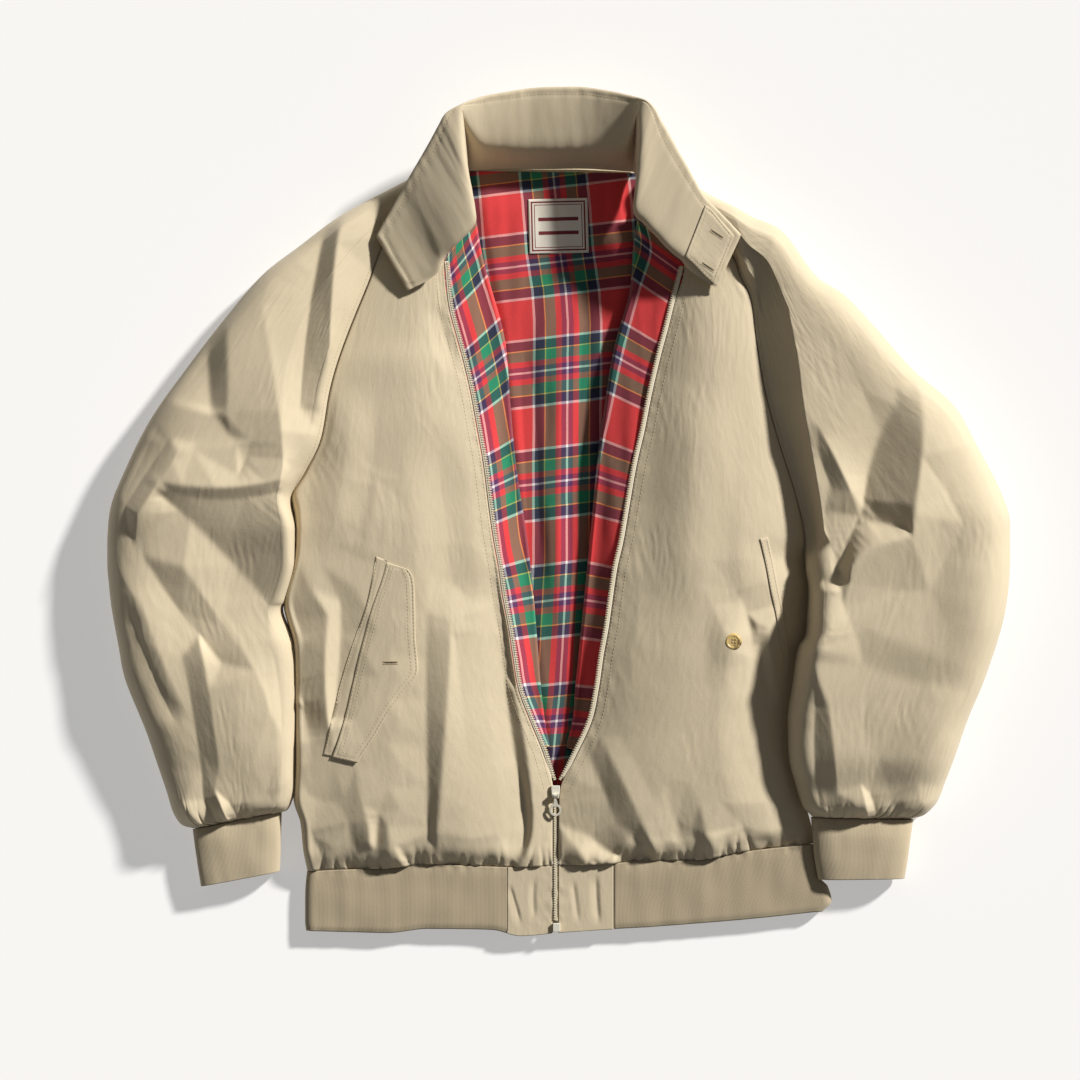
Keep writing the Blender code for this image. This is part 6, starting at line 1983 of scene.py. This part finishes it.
class Thread:
    """Stitches of one seam or buttonhole, each a short bowed thread, joined in one mesh."""

    LENGTH = 2.4
    PITCH = 3.2
    HOLE = 13.0   # length of a buttonhole's stitching
    RADII = ((-1.0, 0.0, -0.30), (-0.72, 0.14, 0.0), (0.0, 0.19, 0.06), (0.72, 0.14, 0.0),
             (1.0, 0.0, -0.30))   # share of half its length, radius and height

    def __init__(self, name: str) -> None:
        """Starts with no stitches."""
        self.make = MeshMaker(name)

    def stitch(self, place: np.ndarray, way: np.ndarray, up: np.ndarray, length: float) -> None:
        """Adds one stitch.

        Args:
            place: Its middle, on the cloth.
            way: Which way it runs.
            up: Away from the cloth.
            length: Its length.
        """
        way = way / np.linalg.norm(way)
        side = np.cross(up, way)
        side /= np.linalg.norm(side)
        rings = []
        for share, radius, rise in self.RADII:
            middle = place + way * share * length / 2 + up * (rise + 0.08)
            turns = ((1, 0), (0, 1), (-1, 0), (0, -1)) if radius else ((0, 0),)
            rings.append(np.array([middle + side * a * radius + up * b * radius for a, b in turns]))
        first = self.make.add_places(np.vstack(rings))
        for start in (1, 5):
            loop = [[first + start + k, first + start + (k + 1) % 4, first + start + 4 + (k + 1) % 4,
                     first + start + 4 + k] for k in range(4)]
            self.make.add_faces(np.array(loop), np.zeros((16, 2)))
        ends = [[first, first + 1 + (k + 1) % 4, first + 1 + k] for k in range(4)]
        ends += [[first + 13, first + 9 + k, first + 9 + (k + 1) % 4] for k in range(4)]
        self.make.add_faces(np.array(ends), np.zeros((24, 2)))

    def run(self, line: np.ndarray, up: np.ndarray) -> None:
        """Adds a row of stitches along a line.

        Args:
            line: Places on the cloth.
            up: The cloth's normal at each.
        """
        gone = gone_along(line)
        for at in np.arange(self.PITCH / 2, gone[-1] - self.PITCH / 2, self.PITCH):
            ends = [on_line(line, gone, at + reach) for reach in (-self.LENGTH / 2, self.LENGTH / 2)]
            self.stitch((ends[0] + ends[1]) / 2, ends[1] - ends[0], on_line(up, gone, at), self.LENGTH)

    def on(self, surface: Surface, plan: np.ndarray) -> None:
        """Adds a row of stitches that follows a plan line on a surface."""
        gone = gone_along(plan)
        points = [surface.touch(*on_line(plan, gone, at)) for at in np.arange(0.0, gone[-1], 1.6)]
        points = [point for point in points if point is not None]
        if len(points) > 3:
            self.run(np.array([p for p, _ in points]), np.array([n for _, n in points]))

    def buttonhole(self, surface: Surface, middle: tuple[float, float], degrees: float) -> None:
        """Adds the close stitches round a buttonhole.

        Args:
            surface: The cloth that it is worked in.
            middle: Its place.
            degrees: Which way it runs.
        """
        turn = math.radians(degrees)
        way = np.array((math.cos(turn), math.sin(turn), 0.0))
        side = np.array((-way[1], way[0], 0.0))
        for at in np.arange(-self.HOLE / 2, self.HOLE / 2 + 0.1, 0.55):
            for hand in (-1, 1):
                spot = np.array((*middle, 0.0)) + way * at + side * hand * 1.05
                found = surface.touch(spot[0], spot[1])
                if found is not None:
                    self.stitch(found[0], side, found[1], 1.7)

    def build(self, finish: object) -> bpy.types.Object:
        """Makes the stitches and gives them their finish."""
        return dress(self.make.build(), finish)


@dataclass
class PaintedSlitShade:
    """Painted shade in the cut of a buttonhole: a narrow near-black lens standing for the shadow inside
    the cut.
    """

    name: str
    middle: tuple[float, float]
    degrees: float
    on: Surface
    length: float = 12.0
    width: float = 0.9

    def build(self) -> bpy.types.Object:
        """Makes the painted shade in the buttonhole's cut."""
        share = np.linspace(-1.0, 1.0, 19)
        turn = math.radians(self.degrees)
        way, side = np.array((math.cos(turn), math.sin(turn))), np.array((-math.sin(turn), math.cos(turn)))
        half = self.width / 2 * (1 - share ** 2) ** 0.6 + 0.04
        across = np.linspace(-1.0, 1.0, 4)
        plan = (np.array(self.middle) + way * (share * self.length / 2)[:, None, None]
                + side * (half[:, None] * across)[:, :, None])
        low = self.on.heights(plan)
        top = np.dstack((plan, low + 0.16))
        under = np.dstack((plan, low - 0.2))[::COARSE, ::COARSE]
        thing = cloth_wall(self.name, top, under, cloth_uv(top), 1)
        # near-black: painted shade for the shadow inside the cut, not the colour of any cloth
        return dress(thing, PlainCloth((0.035, 0.028, 0.018), Slot.COTTON))


@dataclass
class Zip:
    """The zip: a tape with teeth down each front, and the closed chain below the slider."""

    pitch: float = 2.1
    tooth: tuple[float, float, float] = (1.7, 1.25, 1.7)
    head: float = 0.7
    chain_y: tuple[float, float] = (-248.5, -356.5)
    chain_z: float = 12.2

    def tooth_shape(self) -> tuple[np.ndarray, list[list[int]]]:
        """Models one tooth round the origin, its head towards X.

        Returns:
            Its places and faces.
        """
        bpy.ops.object.select_all(action="DESELECT")
        bpy.ops.mesh.primitive_cube_add(size=1.0, scale=self.tooth)
        thing = bpy.context.active_object
        bpy.ops.object.transform_apply(location=True, rotation=True, scale=True)
        bpy.ops.object.mode_set(mode="EDIT")
        bpy.ops.mesh.select_mode(type="FACE")
        shape = bmesh.from_edit_mesh(thing.data)
        for face in shape.faces:
            face.select = face.normal.x > 0.9
        bmesh.update_edit_mesh(thing.data)
        bpy.ops.mesh.inset(thickness=0.22)
        bpy.ops.mesh.extrude_region_move(TRANSFORM_OT_translate={"value": (self.head, 0, 0)})
        bpy.ops.mesh.select_all(action="SELECT")
        bpy.ops.mesh.bevel(offset=0.14, segments=1, affect="EDGES")
        bpy.ops.mesh.normals_make_consistent(inside=False)
        bpy.ops.object.mode_set(mode="OBJECT")
        places_now = np.array([tuple(v.co) for v in thing.data.vertices])
        faces = [list(polygon.vertices) for polygon in thing.data.polygons]
        bpy.data.objects.remove(thing, do_unlink=True)
        # a bevel leaves its faces in no fixed order, so they are sorted, each from its lowest place
        return places_now, sorted(min(face[k:] + face[:k] for k in range(len(face))) for face in faces)

    def teeth(self, name: str, rows: Sequence[tuple[np.ndarray, float]]) -> bpy.types.Object:
        """Repeats the tooth along lines.

        Args:
            name: The piece's name.
            rows: Each line of places, with the side that its teeth's heads point to.

        Returns:
            The teeth.
        """
        shape, faces = self.tooth_shape()
        turned = [face[::-1] for face in faces]   # the tooth is laid mirrored, so its faces turn round
        corners = sum(len(face) for face in faces)
        make = MeshMaker(name)
        for line, side in rows:
            gone = gone_along(line)
            start = self.pitch * (0.75 if side < 0 else 0.25)
            for at in np.arange(start, gone[-1], self.pitch):
                ends = [on_line(line, gone, at + reach) for reach in (-2.0, 2.0)]
                down = (ends[1] - ends[0]) / np.linalg.norm(ends[1] - ends[0])
                inward = np.cross(down, (0.0, 0.0, -1.0)) * side
                inward /= np.linalg.norm(inward)
                up = np.cross(inward, down) * -side
                middle = (ends[0] + ends[1]) / 2
                first = make.add_places(middle + shape[:, :1] * inward + shape[:, 1:2] * down * side
                                        + shape[:, 2:] * up)
                make.faces.extend([[first + k for k in face] for face in turned])
                make.uvs.append(np.zeros((corners, 2)))
        thing = make.build(smooth=False)
        return dress(thing, Brass((0.84, 0.75, 0.56), 0.1))

    @staticmethod
    def edge(table: Table) -> np.ndarray:
        """Places down a front's open edge, from the neck to the slider."""
        line = places(table, FRONT_COLUMNS, "zip")[ZIP_TOP_ROW:ZIP_END_ROW]
        return between(line, evenly(line, 160))

    def open_side(self, name: str, node: str, table: Table, hand: int) -> None:
        """Makes the tape and teeth of one open side.

        Args:
            name: What both pieces' names begin with.
            node: The solid that they replace.
            table: The front's table.
            hand: 1 on the left, -1 on the right.
        """
        edge = self.edge(table)[:-2]
        grid = []
        for reach in (0.45, 1.5, 2.6, 3.5):
            line = shifted(edge[:, :2], hand * reach)
            grid.append(np.column_stack((line, edge[:, 2] - 0.1 - 0.08 * reach)))
        top = np.stack(grid, axis=1)
        top = top[:len(top) - (len(top) - 1) % COARSE]
        under = top[::COARSE, ::COARSE] - (0, 0, 0.7)
        tape = cloth_wall(f"{name}_tape", top, under, cloth_uv(top), hand)
        dress(tape, PlainCloth((0.76, 0.68, 0.52)), [node])
        line = shifted(edge[:, :2], hand * 3.35)
        self.teeth(f"{name}_teeth", [(np.column_stack((line, edge[:, 2] - 0.6)), float(hand))])

    def chain(self) -> None:
        """Makes the closed zip below the slider."""
        start, end = self.chain_y
        y = np.linspace(start, end, thirds(70))
        x = CHAIN_X + np.linspace(-2.0, 2.0, 7)
        grid = np.dstack((*np.meshgrid(x, y), np.full((len(y), len(x)), self.chain_z)))
        tape = cloth_wall("zip_chain_tape", grid, grid[::COARSE, ::COARSE] - (0, 0, 1.0),
                          cloth_uv(grid), 1)
        dress(tape, PlainCloth((0.50, 0.42, 0.29)), ["zip_chain"])
        rows = [(np.array([(CHAIN_X - side * 0.75, y, 13.1) for y in np.linspace(start, end + 0.5, 70)]),
                 side) for side in (1.0, -1.0)]
        self.teeth("zip_chain_teeth", rows)


@dataclass
class Sewing:
    """The seams' stitches, the buttonholes and the button's thread."""

    EDGES = (("collar_tab", (2.0,)), ("pocket_flap_left", (1.6, 6.4)), ("pocket_welt_left", (1.4,)),
             ("pocket_welt_right", (1.4,)))   # a laid piece and how far inside its rows run
    HOLES = (("tab_buttonhole_upper", "collar_tab", (136.6, 240.5), -33.0),
             ("tab_buttonhole_lower", "collar_tab", (128.9, 212.3), -33.0),
             ("flap_buttonhole", "pocket_flap_left", (-145.3, -129.6), 0.0))   # piece, middle, degrees
    thread: PlainCloth = PlainCloth((0.53, 0.44, 0.29), Slot.COTTON)

    def ruled(self, lines: Table, reach: float) -> list[np.ndarray]:
        """Plan lines inside a ruled piece's two sides and its last line.

        Args:
            lines: Rows of RULED_COLUMNS.
            reach: How far inside they run.

        Returns:
            The three lines.
        """
        left, right = (places(lines, RULED_COLUMNS, stem) for stem in ("left", "right"))
        at = np.linspace(0, len(lines) - 1, 60)
        left, right = between(left, at), between(right, at)
        way = (right - left) / np.linalg.norm(right - left, axis=1)[:, None]
        near, far = left + way * reach, right - way * reach
        last = np.linspace(near[-1], far[-1], 30) + (left[-2] - left[-1]) / np.linalg.norm(
            left[-2] - left[-1]) * reach
        return [near[1:-2], far[1:-2], last]

    def seams(self, fronts: Sequence[Front], sleeves: Sequence[Sleeve], collar: Collar,
              laid: dict[str, Laid]) -> None:
        """Sews the long seams and the edges of the laid pieces.

        Args:
            fronts: Both fronts.
            sleeves: Both sleeves.
            collar: The collar.
            laid: The tab, the flap and the welts, by their solids' names.
        """
        for front in fronts:
            face = Surface([front.top])
            thread = Thread(f"{front.node}_stitches")
            for reach in (1.6, 7.5):
                thread.on(face, shifted(Zip.edge(front.table)[:, :2], -front.hand * reach))
            thread.build(self.thread)
        for sleeve in sleeves:
            face = Surface([sleeve.top])
            thread = Thread(f"{sleeve.node}_stitches")
            seam = between(places(sleeve.table, SLEEVE_COLUMNS, "inner")[:RAGLAN_ROWS],
                           np.linspace(0.3, RAGLAN_ROWS - 1.2, 120))
            thread.on(face, shifted(seam, -sleeve.hand * 2.6))
            thread.build(self.thread)
        thread = Thread("collar_stitches")
        for line, normal in collar.stitch_lines:
            thread.run(line, normal)
        thread.build(self.thread)
        for node, reaches in self.EDGES:
            face = Surface([laid[node].top])
            thread = Thread(f"{node}_stitches")
            for reach in reaches:
                for line in self.ruled(laid[node].lines, reach):
                    thread.on(face, line)
            thread.build(self.thread)
        for name, node, middle, degrees in self.HOLES:
            face = Surface([laid[node].top])
            # each buttonhole gets a near-black lens of painted shade in its cut
            PaintedSlitShade(f"{name}_slit", middle, degrees, face).build()
            thread = Thread(f"{name}_stitches")
            thread.buttonhole(face, middle, degrees)
            thread.build(self.thread)

    def button_thread(self, top: float = 39.3) -> None:
        """Ties the button through its four holes."""
        thread = Thread("button_thread")
        for turn in (0.0, math.radians(90.0)):
            way = np.array((math.cos(turn), math.sin(turn), 0.0))
            for side in (-1.34, 1.34):
                middle = np.array((BUTTON[0] - side * way[1], BUTTON[1] + side * way[0], top))
                thread.stitch(middle, way, np.array((0.0, 0.0, 1.0)), 3.4)
        thread.build(PlainCloth((0.30, 0.23, 0.13), Slot.COTTON))


# ---------------------------------------------------------------- light and camera


@dataclass
class Studio:
    """A pale floor, a sun from the upper right and soft light all round."""

    sun_azimuth: float = 40.0
    sun_height: float = 26.0
    sun_strength: float = 5.55
    sun_width: float = 5.0
    fill: float = 0.13
    floor_glow: float = 0.38
    view_centre: tuple[float, float] = (-16.1, -23.5)
    view_width: float = 939.6
    view_height: float = 3000.0

    def build(self) -> None:
        """Makes the floor, the lights and the camera."""
        scene = bpy.context.scene
        scene.view_settings.view_transform = "Standard"
        bpy.ops.object.select_all(action="DESELECT")
        bpy.ops.mesh.primitive_grid_add(x_subdivisions=2, y_subdivisions=2, size=60.0,
                                        location=(0, 0, -0.0003))
        floor = bpy.context.active_object
        floor.name = "floor"
        g = Graph("floor")
        floor.data.materials.append(g.surface(
            Base_Color=(0.62, 0.61, 0.6, 1), Roughness=0.9, Specular_IOR_Level=0.0,
            Emission_Color=(1.0, 0.995, 0.985, 1), Emission_Strength=self.floor_glow))
        sun = bpy.data.lights.new("key", "SUN")
        sun.energy = self.sun_strength
        sun.angle = math.radians(self.sun_width)
        sun.color = (1.0, 0.985, 0.955)
        lamp = bpy.data.objects.new("key", sun)
        a, e = math.radians(self.sun_azimuth), math.radians(self.sun_height)
        towards = Vector((math.cos(a) * math.cos(e), math.sin(a) * math.cos(e), math.sin(e)))
        lamp.rotation_euler = towards.to_track_quat("Z", "Y").to_euler()
        scene.collection.objects.link(lamp)
        world = bpy.data.worlds.new("fill")
        world.use_nodes = True
        back = world.node_tree.nodes["Background"]
        back.inputs["Color"].default_value = (0.97, 0.985, 1.0, 1)
        back.inputs["Strength"].default_value = self.fill
        scene.world = world
        lens = bpy.data.cameras.new("camera")
        lens.sensor_width = 36.0
        lens.lens = 36.0 * (self.view_height - 20.0) / self.view_width
        lens.clip_end = 50.0
        camera = bpy.data.objects.new("camera", lens)
        camera.location = (self.view_centre[0] * MM, self.view_centre[1] * MM, self.view_height * MM)
        scene.collection.objects.link(camera)
        scene.camera = camera


def paint_kept() -> None:
    """Gives the solids that stay their finishes."""
    pale = Brass((0.95, 0.9, 0.77), 0.25)
    for node, finish in (("slider", pale), ("zip_pull", pale), ("zip_retainer", pale),
                         ("button", Horn())):
        thing = frame["nodes"][node]
        for held in thing.material_slots:
            held.material = finish.material(f"{finish.slot.value}_{node}")
        LOG.info("%s keeps its form", node)


def main() -> None:
    """Builds the jacket and its studio."""
    logging.basicConfig(level=logging.INFO, format="%(name)s: %(message)s")
    Studio().build()
    fronts = (
        Front("front_left_panel", "front_left", FRONT_LEFT, SLEEVE_LEFT, FOLDS_FRONT_LEFT,
              CREASES_FRONT_LEFT, 1, 200, Cut(0.24, 0.62, 0.115, ("back_panel",)),
              side_from=0.0, side_reach=9.0, side_power=2.0),
        Front("front_right_panel", "front_right", FRONT_RIGHT, SLEEVE_RIGHT, FOLDS_FRONT_RIGHT,
              CREASES_FRONT_RIGHT, -1, 300, Cut(0.24, 0.62, 0.108, ("back_panel",)),
              side_from=3.0, side_reach=62.0, side_power=1.45),
    )
    sleeves = (
        Sleeve("sleeve_left_panel", "sleeve_left", SLEEVE_LEFT, FOLDS_SLEEVE_LEFT,
               CREASES_SLEEVE_LEFT, 1, 400, hollow=0.7, cut=Cut(0.36, 0.66, 0.185)),
        Sleeve("sleeve_right_panel", "sleeve_right", SLEEVE_RIGHT, FOLDS_SLEEVE_RIGHT,
               CREASES_SLEEVE_RIGHT, -1, 500, hollow=1.6, cut=Cut(0.36, 0.66, 0.185)),
    )
    for piece in fronts + sleeves:
        piece.build()
    Back(*fronts).build()
    Cuff("cuff_left_rib", "cuff_left", CUFF_LEFT, 1).build()
    Cuff("cuff_right_rib", "cuff_right", CUFF_RIGHT, -1, lap=5.5).build()
    hem = Hem()
    hem.band()
    hem.placket("placket_left_cloth", "placket_left", PLACKET_LEFT_X + SEAM_GAP,
                CHAIN_X - CHAIN_WIDTH / 2 - SEAM_GAP)
    hem.placket("placket_right_cloth", "placket_right", CHAIN_X + CHAIN_WIDTH / 2 + SEAM_GAP,
                PLACKET_RIGHT_X - SEAM_GAP)
    collar = Collar()
    collar.build()
    SideLining("lining_left_panel", ("lining_left_upper", "lining_left_lower"), LINING_LEFT, 1,
               "left", stripe_from=7.0).build()
    SideLining("lining_right_panel", ("lining_right",), LINING_RIGHT, -1, "right",
               stripe_from=62.2).build()
    inside = BackLining()
    inside.build()
    inside.label(Surface([inside.top]))
    left_face, right_face = (Surface([front.top]) for front in fronts)
    laid = {piece.node: piece for piece in (
        Laid("collar_tab_cloth", "collar_tab", TAB, Surface([collar.upper]), 1.0, ShellCloth(),
             Cut(0.048, 0.036, 0.0016), rows=45, across=60),
        Laid("pocket_flap_cloth", "pocket_flap_left", FLAP, left_face, 0.9, ShellCloth(),
             Cut(0.055, 0.18, 0.0072), rows=150, across=50, free_right=0.4, free_end=0.9),
        Laid("pocket_welt_left_cloth", "pocket_welt_left", WELT_LEFT, left_face, 0.4, ShellCloth(),
             Cut(0.012, 0.18, 0.0016), rows=120, across=8),
        Laid("pocket_welt_right_cloth", "pocket_welt_right", WELT_RIGHT, right_face, 0.9,
             ShellCloth(), Cut(0.012, 0.12, 0.0008), rows=90, across=8))}
    for piece in laid.values():
        piece.build()
    teeth = Zip()
    teeth.open_side("zip_left", "zip_left", FRONT_LEFT, 1)
    teeth.open_side("zip_right", "zip_right", FRONT_RIGHT, -1)
    teeth.chain()
    sewing = Sewing()
    sewing.seams(fronts, sleeves, collar, laid)
    sewing.button_thread()
    paint_kept()


if __name__ == "__main__":
    main()
